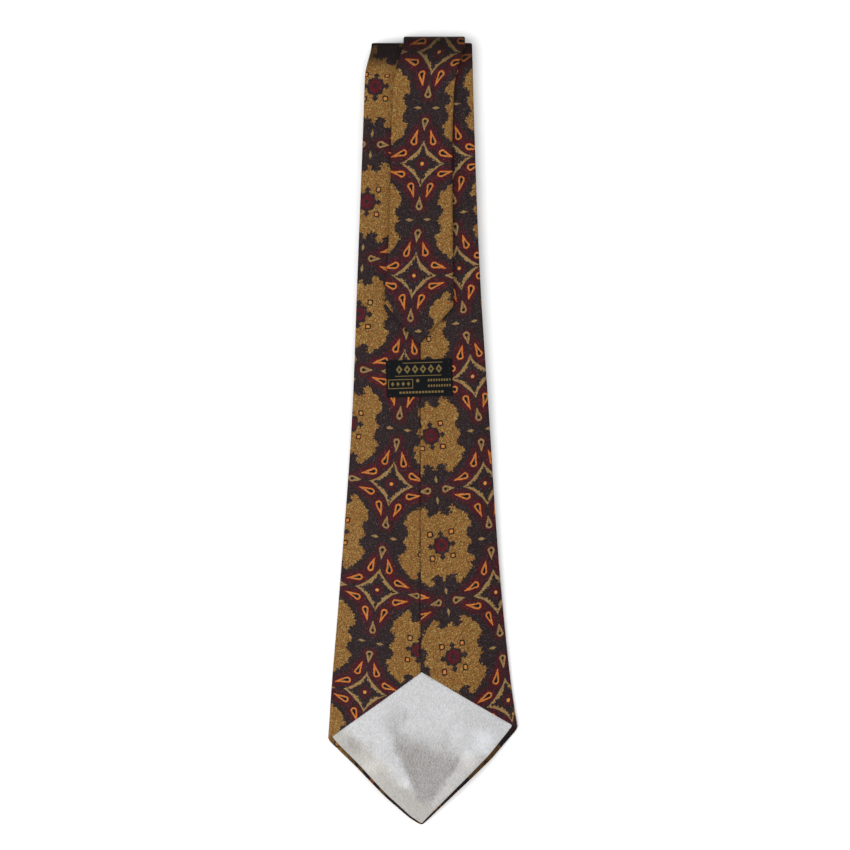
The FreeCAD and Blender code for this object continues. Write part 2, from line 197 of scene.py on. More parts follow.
blade_low, _ = box_mm("blade_panel_end")
bend_low, bend_high = box_mm("blade_panel_bend")
fold_low, fold_high = box_mm("tail_panel_fold")
neck_low, _ = box_mm("neck_panel")
tail_low, tail_high = box_mm("tail_panel_end")
label_low, label_high = box_mm("keeper_label")
_, tipping_high = box_mm("blade_tipping")
_, tail_tipping_high = box_mm("tail_tipping")

SILK_THICK = 0.4
SATIN_THICK = 0.24
WOOL_THICK = 0.8
LABEL_THICK = 0.3
LAYER = 2.0  # a flattened tube, from its printed front to its seamed back
MIDDLE = LAYER / 2
ROUND = (LAYER - SILK_THICK) / 2  # radius of a tube's side
LAP_RISE = 0.5  # how far the lap climbs over the flap under it
LOW_FOLD = 2.7  # front radius of the low fold
TIP_Y = blade_low[1]
TOP_Y = fold_low[1]  # where the folds at the top begin
LOW_Y = neck_low[1] + LOW_FOLD
BLADE_Z = blade_low[2]
TAIL_Z = tail_high[2]
TOP_AXIS_Z = TAIL_Z / 2
UNDER_Z = 2 * LOW_FOLD
NECK_X = 2.0
NECK_HALF = 17.0
TAIL_X = (fold_low[0] + fold_high[0]) / 2
TAIL_HALF = (fold_high[0] - fold_low[0]) / 2
FRONT_SEAM_Y = -31.0
REAR_SEAM_Y = -60.0
SEAM_X = -0.2
UNDER_LAP = 5.9  # how far the left flap reaches under the right one
STITCH = 15  # length of a hand stitch at the back seam
STITCH_PITCH = 20


def always(value):
    return lambda at: value + 0 * at


def stack(*parts):
    return np.stack(parts, -1)


def smooth(t):
    t = np.clip(t, 0, 1)
    return t * t * (3 - 2 * t)


def through(places, values):
    """A smooth curve through a few values, as a function."""
    places, values = np.array(places, float), np.array(values, float)
    slopes = np.gradient(values, places)

    def curve(at):
        at = np.clip(at, places[0], places[-1])
        i = np.clip(np.searchsorted(places, at) - 1, 0, len(places) - 2)
        gap = places[i + 1] - places[i]
        t = (at - places[i]) / gap
        start = values[i] * (1 + 2 * t) * (1 - t) ** 2 + slopes[i] * gap * t * (1 - t) ** 2
        return start + values[i + 1] * t * t * (3 - 2 * t) + slopes[i + 1] * gap * t * t * (t - 1)

    return curve


def waves(x, y, length, seed):
    """Gentle random unevenness, from -1 to 1 or so, in waves of about this length."""
    rng = np.random.default_rng(seed)
    total = 0
    for _ in range(9):
        angle, phase = rng.uniform(0, math.tau, 2)
        k = math.tau / (length * rng.uniform(0.7, 1.5))
        total = total + np.sin(k * (x * math.cos(angle) + y * math.sin(angle)) + phase)
    return total / 4


# Outlines of the four layers

BLADE_NARROW = 41.8  # the width that the blade tapers towards
BLADE_FLARE = 58.4  # how much wider its corners are
FLARE_LENGTH = 260
CORNERS_UP = 51  # height of the corners above the tip

blade_middle = through([-160, -143, -90, 16, 69, 205], [1.3, 0.5, -0.3, -0.3, -1.1, -1.1])
tail_middle = through(
    [45.3, 67.6, 95.7, 141.8, 170, 186, 196, TOP_Y],
    [-1.1, -1.1, -0.2, 0.3, 0.9, 2.0, 4.4, TAIL_X],
)
tail_half = through([45.3, 67.6, 95.7, 141.8, TOP_Y], [18.6, 18.4, 17.2, TAIL_HALF, TAIL_HALF])


def blade_half(y):
    return (BLADE_NARROW + BLADE_FLARE * np.exp((CORNERS_UP - (y - TIP_Y)) / FLARE_LENGTH)) / 2


def blade_left(y):
    """The left edge, which draws in a little where the blade folds over."""
    return blade_middle(y) - blade_half(y) + 3.2 * smooth((y - 187) / 19)


def blade_right(y):
    return blade_middle(y) + blade_half(y)


FOLD_MIDDLE = float(blade_left(TOP_Y) + blade_right(TOP_Y)) / 2
FOLD_HALF = float(blade_right(TOP_Y) - blade_left(TOP_Y)) / 2


def below_top(y):
    """0 at the folds at the top, 1 at the low fold."""
    return np.clip((TOP_Y - y) / (TOP_Y - LOW_Y), 0, 1)


def under_half(y):
    ease = (1 + np.cos(math.pi * below_top(y))) / 2
    return NECK_HALF + (FOLD_HALF - NECK_HALF) * ease


def from_top(at_top, at_low):
    """A measure that changes evenly from the folds at the top to the low fold."""
    return lambda y: at_top + (at_low - at_top) * below_top(y)


under_middle = from_top(FOLD_MIDDLE, NECK_X)
rear_middle = from_top(TAIL_X, NECK_X)
rear_half = from_top(TAIL_HALF, NECK_HALF)


def tail_left(y):
    return tail_middle(y) - tail_half(y)


def tail_right(y):
    return tail_middle(y) + tail_half(y)


# How each layer lies. A place in a layer is given by x, y and its depth from the printed front

DROOP_LENGTH = 30  # over which the blade sinks beyond the layers that hold it up
DROOP_LEFT = 0.5  # how far its edge stays above the table
TAIL_END_Y = 38  # just beyond the tail's tip


def droop(x, y):
    """The blade rests on the layers under it, and sinks towards the table beyond them."""
    aside = np.maximum(np.abs(x - under_middle(y)) - under_half(y) - 1.5, 0)
    ahead = np.maximum(LOW_Y - 4 - y, 0)
    return (BLADE_Z - DROOP_LEFT) * smooth(np.hypot(aside, ahead) / DROOP_LENGTH)


def under_tail(x, y):
    """1 where the tail lies on the blade."""
    beside = smooth((tail_half(y) + 5 - np.abs(x - tail_middle(y))) / 6)
    return beside * smooth((y - TAIL_END_Y) / 10)


def on_blade(x, y, depth):
    bumps = 0.20 * waves(x, y, 46, 3) + 0.08 * waves(x, y, 17, 4)
    pucker = np.exp(-(((x - SEAM_X - 3) / 7) ** 2)) * 0.10 * np.cos(math.tau * y / STITCH_PITCH)
    ridge = 0.15 * np.exp(-(((y - tipping_high[1]) / 1.5) ** 2)) * (np.abs(x) < 36)
    upper = np.clip(depth / LAYER, 0, 1.2) * smooth((TOP_Y - y) / 12)
    upper = upper * (1 - 0.8 * under_tail(x, y))
    z = BLADE_Z + depth - droop(x, y) + (bumps + pucker + ridge) * upper
    return stack(x, y, z)


def on_tail(x, y, depth):
    bumps = 0.12 * waves(x, y, 38, 8) + 0.05 * waves(x, y, 13, 9)
    free = smooth((TOP_Y - y) / 16) * (1 - 0.8 * np.clip(depth / LAYER, 0, 1))
    return stack(x, y, TAIL_Z - depth + bumps * free)


def turning(axis_z, front_radius, back_inside, at_top):
    """A fold about an axis along X. A place in it is x, a turn from 0 (below) to 1, and depth."""
    side, axis_y = (1, TOP_Y) if at_top else (-1, LOW_Y)

    def place(x, turn, depth):
        radius = front_radius - depth if back_inside else front_radius + depth
        angle = math.pi * turn
        y = axis_y + side * radius * np.sin(angle)
        return stack(x, y, axis_z - radius * np.cos(angle))

    return place


def on_under(x, y, depth):
    return stack(x, y, UNDER_Z - depth)


def on_rear(x, y, depth):
    return stack(x, y, depth)


# Print coordinates count repeats of the print, with whole numbers at a star. The lattice runs
# straight on the front, so a flap shows it mirrored about its side.

REPEAT_X = 51.85
REPEAT_Y = 57.1


def blade_print(x, y):
    """The lattice on the blade, where its two sides differ a little and curve near the point."""
    left = -61.7 - 1.9e-4 * np.maximum(0, 5.6 - y) ** 2
    right = 42.0 + 3.8e-4 * np.maximum(0, 16.2 - y) ** 2
    side = smooth((x + 50) / 100)
    u = (x - left) / REPEAT_X * (1 - side) + ((x - right) / REPEAT_X + 2) * side
    row_left = 3 - (y + 25.0) / 56.9 * (1 - 2.1e-4 * (y + 25.0))
    row_right = 3 - (y + 27.6) / 57.35
    return stack(u, row_left * (1 - side) + row_right * side)


def tail_print(x, y):
    slant = 3.7 - 0.058 * (200 - y)
    return stack((x - tail_middle(y) - slant) / REPEAT_X, (200.1 - y) / 59.1)


def mirrored(lattice, x, y, edge):
    """Print coordinates at a place on a flap that is folded over an edge."""
    slope = (edge(y + 1) - edge(y - 1)) / 2
    dx = x - edge(y)
    turn = 1 + slope * slope
    return lattice(edge(y) - dx * (1 - slope * slope) / turn, y + 2 * slope * dx / turn)


# Meshes

SHARP = math.radians(50)  # edges sharper than this aren't smoothed
THREAD_SIDES = 6
THREAD_RADIUS = 0.13


def placed(made, place=(0, 0, 0)):
    made.location = place
    bpy.context.scene.collection.objects.link(made)
    return made


def object_from(name, points, faces, materials, uv=None, face_material=None):
    mesh = bpy.data.meshes.new(name)
    mesh.from_pydata((np.asarray(points) * MM).tolist(), [], faces)
    if uv is not None:
        layer = mesh.uv_layers.new(name="UVMap")
        corner = np.empty(len(mesh.loops), np.int32)
        mesh.loops.foreach_get("vertex_index", corner)
        layer.data.foreach_set("uv", np.asarray(uv, np.float32)[corner].ravel())
    for material in materials:
        mesh.materials.append(material)
    if face_material is not None:
        mesh.polygons.foreach_set("material_index", np.asarray(face_material, np.int32))
    mesh.shade_smooth()
    mesh.set_sharp_from_angle(angle=SHARP)
    mesh.update()
    return placed(bpy.data.objects.new(name, mesh))


def unit(vectors):
    return vectors / np.linalg.norm(vectors, axis=1, keepdims=True)


def cloth(name, grid, uv, materials, outside, thickness):
    """A cloth with thickness about a grid of points. Its outside is at +1 times rows x columns."""
    rows, columns = grid.shape[:2]
    normal = np.cross(np.gradient(grid, axis=0), np.gradient(grid, axis=1)) * outside
    normal /= np.maximum(np.linalg.norm(normal, axis=-1, keepdims=True), 1e-9)
    half = normal * thickness / 2
    points = np.concatenate([(grid + half).reshape(-1, 3), (grid - half).reshape(-1, 3)])
    n = rows * columns
    index = np.arange(n).reshape(rows, columns)
    outer = np.stack([index[:-1, :-1], index[1:, :-1], index[1:, 1:], index[:-1, 1:]], -1)
    outer = outer.reshape(-1, 4)
    ring = np.concatenate([index[0, :-1], index[:-1, -1], index[-1, :0:-1], index[:0:-1, 0]])
    after = np.roll(ring, -1)
    wall = stack(ring, after, after + n, ring + n)
    if outside < 0:
        outer, wall = outer[:, ::-1], wall[:, ::-1]
    inner = outer[:, ::-1] + n
    faces = np.concatenate([outer, inner, wall])
    last = len(materials) - 1
    slots = [0] * len(outer) + [last] * (len(inner) + len(wall))
    flat_uv = uv.reshape(-1, 2)
    both = np.concatenate([flat_uv, flat_uv])
    return object_from(name, points, faces.tolist(), materials, both, slots)


def thread(name, lines, material):
    points, faces = [], []
    sides = THREAD_SIDES
    turn = [math.tau * k / sides for k in range(sides)]
    for line in lines:
        line = np.asarray(line, float)
        along = unit(np.gradient(line, axis=0))
        side = unit(np.cross(along, [0.13, 0.21, 1.0]))
        up = np.cross(side, along)
        first = len(points)
        for p, s, u in zip(line, side, up):
            points += [p + THREAD_RADIUS * (math.cos(a) * s + math.sin(a) * u) for a in turn]
        for i in range(len(line) - 1):
            start = first + i * sides
            for k in range(sides):
                a, b = start + k, start + (k + 1) % sides
                faces.append([a, a + sides, b + sides, b])
        last = first + (len(line) - 1) * sides
        faces.append([first + k for k in range(sides)])
        faces.append([last + k for k in reversed(range(sides))])
    return object_from(name, points, faces, [material])


# Materials


class Value:
    """A number or colour in a material, with arithmetic."""

    def __init__(self, tree, socket):
        self.tree, self.socket = tree, socket

    def math(self, operation, *others, clamp=False):
        node = self.tree.nodes.new("ShaderNodeMath")
        node.operation, node.use_clamp = operation, clamp
        for i, value in enumerate((self, *others)):
            if isinstance(value, Value):
                self.tree.links.new(value.socket, node.inputs[i])
            else:
                node.inputs[i].default_value = value
        return Value(self.tree, node.outputs[0])

    __add__ = __radd__ = partialmethod(math, "ADD")
    __mul__ = __rmul__ = partialmethod(math, "MULTIPLY")
    __sub__ = partialmethod(math, "SUBTRACT")
    abs = partialmethod(math, "ABSOLUTE")
    min = partialmethod(math, "MINIMUM")
    max = partialmethod(math, "MAXIMUM")

    def __rsub__(self, other):
        return (self * -1) + other

    def clamped(self):
        return self.math("ADD", 0, clamp=True)

    def eased(self):
        t = self.clamped()
        return t * t * (3 - 2 * t)

    def inside(self, blur=0.3):
        """1 where the number is below 0, with a soft edge."""
        return (0.5 - self * (1 / blur)).clamped()


def hypot(a, b):
    return (a * a + b * b).math("SQRT")


class Paint:
    """A material whose colour is built up in layers."""

    def __init__(self, name):
        self.material = bpy.data.materials.new(name)
        self.material.use_nodes = True
        self.tree = self.material.node_tree
        self.shader = self.tree.nodes["Principled BSDF"]
        place = self.tree.nodes.new("ShaderNodeUVMap")
        place.uv_map = "UVMap"
        split = self.tree.nodes.new("ShaderNodeSeparateXYZ")
        self.tree.links.new(place.outputs[0], split.inputs[0])
        self.u = Value(self.tree, split.outputs[0])
        self.v = Value(self.tree, split.outputs[1])

    def put(self, value, socket):
        """Sets a socket to a Value, a number, or a colour of red, green and blue up to 255."""
        if isinstance(value, Value):
            self.tree.links.new(value.socket, socket)
        elif isinstance(value, tuple):
            socket.default_value = [((c / 255 + 0.055) / 1.055) ** 2.4 for c in value] + [1]
        else:
            socket.default_value = value

    def texture(self, kind, x, y, scale, seed=0.0):
        vector = self.tree.nodes.new("ShaderNodeCombineXYZ")
        self.put(x, vector.inputs[0])
        self.put(y, vector.inputs[1])
        vector.inputs[2].default_value = seed
        node = self.tree.nodes.new(kind)
        node.inputs["Scale"].default_value = scale
        self.tree.links.new(vector.outputs[0], node.inputs["Vector"])
        return node

    def noise(self, x, y, scale, detail=2.0, seed=0.0):
        node = self.texture("ShaderNodeTexNoise", x, y, scale, seed)
        node.inputs["Detail"].default_value = detail
        return Value(self.tree, node.outputs[0])

    def cells(self, x, y, scale):
        """Distance from the middle of round cells, from 0 to about 0.7."""
        node = self.texture("ShaderNodeTexVoronoi", x, y, scale)
        node.inputs["Randomness"].default_value = 0.8
        return Value(self.tree, node.outputs["Distance"])

    def worn(self):
        """How far painted shade darkens the cloth here."""
        node = self.tree.nodes.new("ShaderNodeAttribute")
        node.attribute_name = "worn"
        return Value(self.tree, node.outputs["Fac"])

    def speckle(self, x, y, scale, seed, contrast):
        """Noise with stronger contrast, from 0 to 1."""
        return ((self.noise(x, y, scale, 1, seed) - 0.5) * contrast + 0.5).clamped()

    def mix(self, share, below, above):
        node = self.tree.nodes.new("ShaderNodeMix")
        node.data_type = "RGBA"
        for index, value in ((0, share), (6, below), (7, above)):
            self.put(value, node.inputs[index])
        return Value(self.tree, node.outputs[2])

    def finish(self, colour, roughness, height, strength=0.3, distance=0.0003, gloss=0.2):
        self.put(colour, self.shader.inputs["Base Color"])
        self.put(roughness, self.shader.inputs["Roughness"])
        self.shader.inputs["Specular IOR Level"].default_value = gloss
        node = self.tree.nodes.new("ShaderNodeBump")
        node.inputs["Strength"].default_value = strength
        node.inputs["Distance"].default_value = distance
        self.put(height, node.inputs["Height"])
        self.tree.links.new(node.outputs[0], self.shader.inputs["Normal"])
        return self.material


def drop(x, y, fat, fat_radius, point):
    """Distance to a drop with a fat end and a point."""
    length = math.dist(fat, point)
    ux, uy = (point[0] - fat[0]) / length, (point[1] - fat[1]) / length
    dx, dy = x - fat[0], y - fat[1]
    along = ((dx * ux + dy * uy) * (1 / length)).clamped()
    away = hypot(dx - along * (ux * length), dy - along * (uy * length))
    return away + along * (fat_radius - 0.15) - fat_radius


def printed():
    """The foulard print: stars in dark wreaths of drops, and gold grounds round a rosette."""
    p = Paint("foulard_print")
    gx, gy = p.u * REPEAT_X, p.v * REPEAT_Y
    drift_x = (p.noise(gx, gy, 0.16, 1, 2.0) - 0.5) * 1.2
    drift_y = (p.noise(gx, gy, 0.16, 1, 7.0) - 0.5) * 1.2
    su, sv = p.u + drift_x * (1 / REPEAT_X), p.v + drift_y * (1 / REPEAT_Y)
    # x and y count from the nearest star, gu and gv from the nearest gold ground
    x = (su - su.math("ROUND")).abs() * REPEAT_X
    y = (sv - sv.math("ROUND")).abs() * REPEAT_Y
    gu, gv = REPEAT_X / 2 - x, REPEAT_Y / 2 - y
    fine = p.noise(gx, gy, 1.0, 1, 0.0)
    weave = p.speckle(gx, gy, 2.5, 11.0, 2.8)
    fleck = p.speckle(gx, gy, 1.8, 23.0, 2.4)
    cloud = p.speckle(gx, gy, 0.22, 41.0, 2.4)
    beads = p.cells(gx, gy, 0.86) - 0.46
    ragged = (p.noise(gx, gy, 0.6, 1, 31.0) - 0.5) * 2.6
    rough = (fine - 0.5) * 0.5

    glint = (fleck * weave * 2.6 - 1.5).clamped()
    charcoal = p.mix(weave, (19, 14, 15), (51, 39, 39))
    charcoal = p.mix(glint * 0.8, charcoal, (100, 92, 100))
    maroon = p.mix(weave, (27, 11, 14), (68, 27, 34))
    maroon = p.mix(cloud * 0.6, maroon, p.mix(fleck, (44, 15, 20), (96, 24, 32)))
    maroon = p.mix(glint * 0.7, maroon, (108, 82, 90))
    gold = p.mix(weave, (72, 46, 20), (132, 93, 48))
    gold = p.mix((fleck * 3 - 1.9).clamped(), gold, (152, 134, 78))
    gold = p.mix((fine * 6 - 3.4).clamped() * 0.8, gold, (146, 82, 40))
    orange = p.mix(weave, (146, 68, 22), (198, 118, 48))
    straw = p.mix(weave, (80, 56, 32), (140, 114, 70))
    straw = p.mix(fleck * 0.45, straw, (162, 142, 98))
    straw = p.mix((fine * 6 - 2.9).clamped() * 0.7, straw, (136, 86, 44))
    night = (16, 13, 16)

    # Wreath round the star: a lobe about each drop, a band that bows in, and a stem at each axis
    drops = [((5.1, 11.3), (3.3, 17.1)), ((10.1, 5.4), (16.5, 3.6))]
    drops = [drop(x, y, fat, 1.75, point) for fat, point in drops]
    lobes = drops[0].min(drops[1]) - 2.5 + ragged * 0.7
    bow = hypot(x - 17, y - 17)
    band = ((bow - 13.4).abs() - 2.4 + ragged * 0.5).max(x + y - 19)
    stem_y = drop(x, y, (0, 21.6), 3.9, (0, 15.5)) + ragged
    stem_x = drop(x, y, (21.0, 0), 3.7, (15.0, 0)) + ragged
    wreath = lobes.min(band).min(stem_y).min(stem_x).max(0.7 - x.min(y) + ragged * 0.3)
    wreath = wreath.min(stem_y + 1.2).min(stem_x + 1.2)
    colour = p.mix(wreath.inside(1.8) * (0.7 + cloud * 0.3), charcoal, maroon)

    def draw(shape, ink, blur=0.3):
        nonlocal colour
        colour = p.mix(shape.inside(blur), colour, ink)

    for shape in drops:
        shape = shape + rough
        draw(shape, orange)
        colour = p.mix((shape + 0.56).inside() * 0.75, colour, straw)
        draw(shape + 0.9, night, 0.25)

    # Star: a beaded gold outline that tapers to its points, round a maroon eye
    taper = (x - y).abs() * 0.06
    inner = bow - 19.1 + beads * 2.0 + taper * 0.9
    outer = 17.05 + taper - bow
    outline = inner.max(outer + rough).max(x + y - 12.2)
    draw((17.7 - bow).max(x + y - 11.4), charcoal)
    draw(outline, straw)
    eye = (hypot(x, y) - 2.5).abs() - 0.75 + ragged * 0.3
    colour = p.mix(eye.inside(0.7) * 0.9, colour, maroon)
    draw(hypot(x, y) - 0.9, (188, 118, 56), 0.35)

    # Gold ground: two bays bite each side beside a spur, and beads run all round
    box = (gu - 15.6).max(gv - 18.2).max((gu + gv) * 0.707 - 20.4)
    bays = (3.3 - hypot(gu - 16.9, gv - 4.4)).max(3.3 - hypot(gu - 3.9, gv - 18.5))
    knobs = (hypot(gu - 14.9, gv - 9.3) - 1.9).min(hypot(gu - 7.8, gv - 18.1) - 2.1)
    draw(box.max(bays).min(knobs) + beads * 2.2 + ragged * 0.3, gold)

    # Rosette in it: petals and arrows round a maroon ring, with four small squares
    away = hypot(gu, gv)
    petals = (gv.math("ARCTAN2", gu) * 8).math("COSINE") * 0.35
    arrow = ((gu - 5.9).abs() + gv).min((gv - 5.9).abs() + gu) - 1.7
    draw((away - 4.8 - petals + ragged * 0.4).min(arrow), charcoal, 0.35)
    ring = (away - 2.3).abs() - 1.15 + ragged * 0.3
    draw(ring, p.mix(fleck * 0.45, maroon, (100, 24, 32)), 0.7)
    square = (gu - 5.6).abs().max((gv - 6.1).abs()) * 0.7 + hypot(gu - 5.6, gv - 6.1) * 0.3
    square = square + rough
    draw(square - 1.5, night)
    draw(square - 0.85, p.mix(cloud, (180, 100, 42), (146, 116, 64)))

    # Small motifs between the wreaths
    for fat, point in (((0, 21.9), (0, 17.0)), ((21.2, 0), (16.6, 0))):
        shape = drop(x, y, fat, 1.8, point) + (fine - 0.5) * 0.6
        draw(shape, straw)
        colour = p.mix((shape + 0.85).inside(0.4) * 0.6, colour, night)
        draw(hypot(x - fat[0], y - fat[1]) - 0.7, night)
    lozenge_y = (x - 4.8).abs() * 0.4 + gv.abs() - 0.8
    lozenge_x = gu.abs() + (y - 5.4).abs() * 0.4 - 0.8
    draw(lozenge_y.min(lozenge_x) + (fine - 0.5) * 0.8, straw, 0.35)

    # Painted shade: the colour darkens towards near black where the attribute is high, on the folds at the top, the
    # rolled edges of the point and the groove beside the lap
    colour = p.mix(p.worn() * 0.86, colour, (18, 12, 11))
    height = p.noise(gx, gy, 1.4, 3, 5.0)
    return p.finish(colour, 0.5 + weave * 0.2, height, 0.4, 0.0004, 0.05)


def reverse_of_print():
    p = Paint("print_reverse")
    gx, gy = p.u * REPEAT_X, p.v * REPEAT_Y
    weave = p.noise(gx, gy, 1.4, 2, 3.0)
    large = p.noise(gx, gy, 0.09, 2, 3.0)
    colour = p.mix(large, (70, 52, 40), (118, 86, 56))
    colour = p.mix(weave, colour, (96, 70, 50))
    return p.finish(colour, 0.8, weave)


def satin():
    """Silver satin with fine ribs, and broad soft patches of painted shade and painted sheen."""
    p = Paint("satin")
    x, y = p.u, p.v
    wander_x = x + (p.noise(x, y, 0.11, 2, 4.0) - 0.5) * 9
    wander_y = y + (p.noise(x, y, 0.11, 2, 9.0) - 0.5) * 9

    def marked(tone, *marks):
        """Adds soft marks to a tone, each with its x, y, size, stretch and strength."""
        for mark_x, mark_y, size, stretch, strength in marks:
            away = hypot(wander_x - mark_x, (wander_y - mark_y) * stretch)
            tone = tone + (1 - away * (1 / size)).eased() * strength
        return tone

    def beside(start, end, blur):
        """0 to 1 from the right of a line to its left, looking along it."""
        length = math.dist(start, end)
        along = (end[0] - start[0]) / length, (end[1] - start[1]) / length
        away = (wander_y - start[1]) * along[0] - (wander_x - start[0]) * along[1]
        return (away * (1 / blur) + 0.5).eased()

    # Painted shade: a soft triangle across the middle, between these three lines, with soft patches round it
    shade_right_edge = beside((3, -201), (20, -174), 2.5)
    shade_left_edge = 1 - beside((0, -197), (-15, -165), 5)
    below = 1 - beside((-15, -160), (22, -173), 16)
    dark = marked(
        shade_right_edge * shade_left_edge * below * ((wander_y + 204) * 0.09).eased(),
        (-15, -153, 8, 0.6, 0.35),
        (12, -164, 5, 0.5, 0.3),
        (-36.5, -167, 7.5, 1, 0.55),
        (-26, -168, 4.5, 0.6, 0.35),
        (-8, -152, 3, 0.4, 0.5),
    )
    # Painted sheen: soft bright patches
    bright = marked(
        0,
        (-26, -178, 8, 1, 1),
        (25, -174, 8, 1, 1),
        (33, -165, 9, 1, 1),
        (-8, -187, 6, 1.3, 0.8),
        (-17, -180, 6, 1, 0.5),
    )
    low_right = (1 - shade_right_edge) * beside((40, -172), (0, -172), 5) * 0.55
    low = low_right + beside((-3, -192), (-30, -168), 5)
    tone = 0.37 + dark.clamped() * 0.48 - bright.clamped() * 0.34 + low.clamped() * 0.16
    rib = p.speckle(x * 1.6, y * 0.7, 1.4, 1.0, 2.0)
    tone = tone + (rib - 0.5) * 0.42 + (p.noise(x, y, 0.12, 2, 6.0) - 0.5) * 0.2
    pale = p.mix(low.clamped() * 0.8, (200, 201, 204), (192, 189, 181))
    colour = p.mix(tone.clamped(), pale, (126, 122, 118))
    height = rib + p.noise(x, y, 0.09, 2, 8.0) * 5
    return p.finish(colour, 0.45, height, 0.3, 0.0004, 0.2)


def woven_label():
    """A black woven ground with gold rules, lozenges and bars."""
    p = Paint("woven_label")
    x, y = p.u, p.v
    rib = (y * 9.0).math("SINE") * 0.5 + 0.5
    grain = p.noise(x, y, 2.2, 2, 5.0)
    ground = p.mix(grain * 0.6 + rib * 0.25, (5, 7, 9), (19, 21, 24))

    def block(x0, x1, y0, y1):
        across = (x - (x0 + x1) / 2).abs() - (x1 - x0) / 2
        return across.max((y - (y0 + y1) / 2).abs() - (y1 - y0) / 2)

    def row(x0, x1, middle_y, pitch, wide, tall, pointed):
        local = ((x - x0) * (1 / pitch)).math("FRACT") * pitch - pitch / 2
        if pointed:
            shape = local.abs() * (1 / wide) + (y - middle_y).abs() * (1 / tall) - 1
        else:
            shape = (local.abs() - wide).max((y - middle_y).abs() - tall)
        return shape.max((x - (x0 + x1) / 2).abs() - (x1 - x0) / 2)

    gold = block(-8.5, 12.5, 8.0, 8.35)
    for shape in (
        block(-12.7, 11.7, 1.15, 1.5),
        row(-12.6, 12.6, 4.8, 4.2, 1.7, 2.3, True),
        block(-16.6, -3.4, -5.3, -0.3),
        hypot(x + 0.9, y + 1.3) - 0.9,
        row(4.2, 16.8, -1.2, 1.4, 0.42, 0.6, False),
        row(4.2, 16.8, -4.2, 1.4, 0.42, 0.6, False),
        row(-11.0, 12.8, -7.4, 1.7, 0.6, 0.55, False),
    ):
        gold = gold.min(shape)
    hollow = row(-12.6, 12.6, 4.8, 4.2, 0.7, 1.0, True).min(block(-16.2, -3.8, -4.9, -0.7))
    mark = gold.inside(0.2) * (1 - hollow.inside(0.2))
    mark = mark.max(row(-15.6, -4.4, -2.8, 2.8, 0.9, 1.2, True).inside())
    uneven = p.noise(x, y, 3.0, 1, 8.0)
    colour = p.mix(mark * (0.1 + uneven * 0.85), ground, (140, 118, 70))
    return p.finish(colour, 0.6, rib + mark * 1.5, 0.3, 0.0002, 0.05)


def wool():
    p = Paint("wool")
    grain = p.noise(p.u * REPEAT_X, p.v * REPEAT_Y, 0.5, 3, 6.0)
    colour = p.mix(grain, (196, 188, 166), (236, 230, 214))
    return p.finish(colour, 0.9, grain, 0.4)


def spun(name, low, high):
    """Thread. Its grain follows the object, since it has no print coordinates."""
    p = Paint(name)
    place = p.tree.nodes.new("ShaderNodeTexCoord")
    node = p.tree.nodes.new("ShaderNodeTexNoise")
    node.inputs["Scale"].default_value = 2500
    p.tree.links.new(place.outputs["Object"], node.inputs["Vector"])
    grain = Value(p.tree, node.outputs[0])
    return p.finish(p.mix(grain, low, high), 0.6, grain)


# The kinds of cloth: slot, materials outside and inside, and thickness
SILK = "printed_silk", [printed(), reverse_of_print()], SILK_THICK
SATIN = "satin_tipping", [satin()], SATIN_THICK
WOVEN = "woven_label", [woven_label()], LABEL_THICK
WOOL = "wool_interlining", [wool()], WOOL_THICK
THREAD = spun("thread", (84, 52, 24), (150, 104, 58))
PALE_THREAD = spun("pale_thread", (150, 148, 144), (214, 212, 208))
DARK_THREAD = spun("dark_thread", (20, 17, 16), (52, 44, 40))


# Pieces


def belongs(made, slot, body, *nodes, across=None):
    """Ties a piece to its body or two bodies, and to the CAD nodes it stands for."""
    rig.slot(made, slot)
    if across is None:
        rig.ride(made, body)
    else:
        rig.blend(made, body, *across)
    if nodes:
        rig.replaces(made, *nodes)


def turn_shares(made, grid, turns):
    """Makes a fold's cloth follow its two bodies by how far each of its rows has turned."""
    share = np.repeat(np.asarray(turns, float), grid.shape[1])
    share = np.concatenate([share, share]).astype(np.float32)
    made.data.attributes["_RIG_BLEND"].data.foreach_set("value", share)


def paint_shade(made, grid, amount):
    """Marks how far painted shade darkens a cloth at each point."""
    worn = made.data.attributes.new("worn", "FLOAT", "POINT")
    share = np.asarray(amount(grid[..., 0], grid[..., 1]), np.float32).ravel()
    worn.data.foreach_set("value", np.concatenate([share, share]))


def sheet_of(made, width, length, area=None, with_pieces=()):
    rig.sheet(made, (width * MM, length * MM), "folded", area=area, with_pieces=with_pieces)


def piece(name, kind, shape, outside, body, nodes, cut, across=None, turns=None, worn=None):
    """A cloth of one kind, tied to what it belongs to. shape is its grid and print coordinates."""
    slot, materials, thickness = kind
    made = cloth(name, *shape, materials, outside, thickness)
    # Painted shade, where one is given
    if worn:
        paint_shade(made, shape[0], worn)
    belongs(made, slot, body, *nodes, across=across)
    if turns is not None:
        turn_shares(made, shape[0], turns)
    if cut:
        sheet_of(made, *cut)
    return made


# Painted shade that deepens towards the folds at the top, where the cloth turns away from the light
def top_shade(most, start_y, length):
    return lambda _, y: most * smooth((y - start_y) / length)


fold_shade = top_shade(0.9, 189, 10)
tail_shade = top_shade(0.8, 187, 16)


def blade_shade(x, y):
    """Painted shade on the top of the blade where it folds over, and a painted shadow line in the groove beside the
    lap.
    """
    groove = np.exp(-(((x - SEAM_X + 0.25) / 0.35) ** 2)) * (0.75 + 0.25 * np.sin(y * 0.31))
    return np.maximum(fold_shade(x, y), groove)


def rim_shade(x, y):
    """Painted shade on the turned edge of the blade's point, most of all near the tip and on the right."""
    return 0.35 + 0.5 * smooth((x + 46) / 12) * smooth((-140 - y) / 10)


# Where a piece passes to another body: that body, and the two places between which it does
BLADE_BEND = "blade_end", *((0, y * MM, BLADE_Z * MM) for y in (bend_high[1], bend_low[1]))
TAIL_TURN = "tail", *((TAIL_X * MM, TOP_Y * MM, TOP_AXIS_Z * share * MM) for share in (0.4, 1.6))

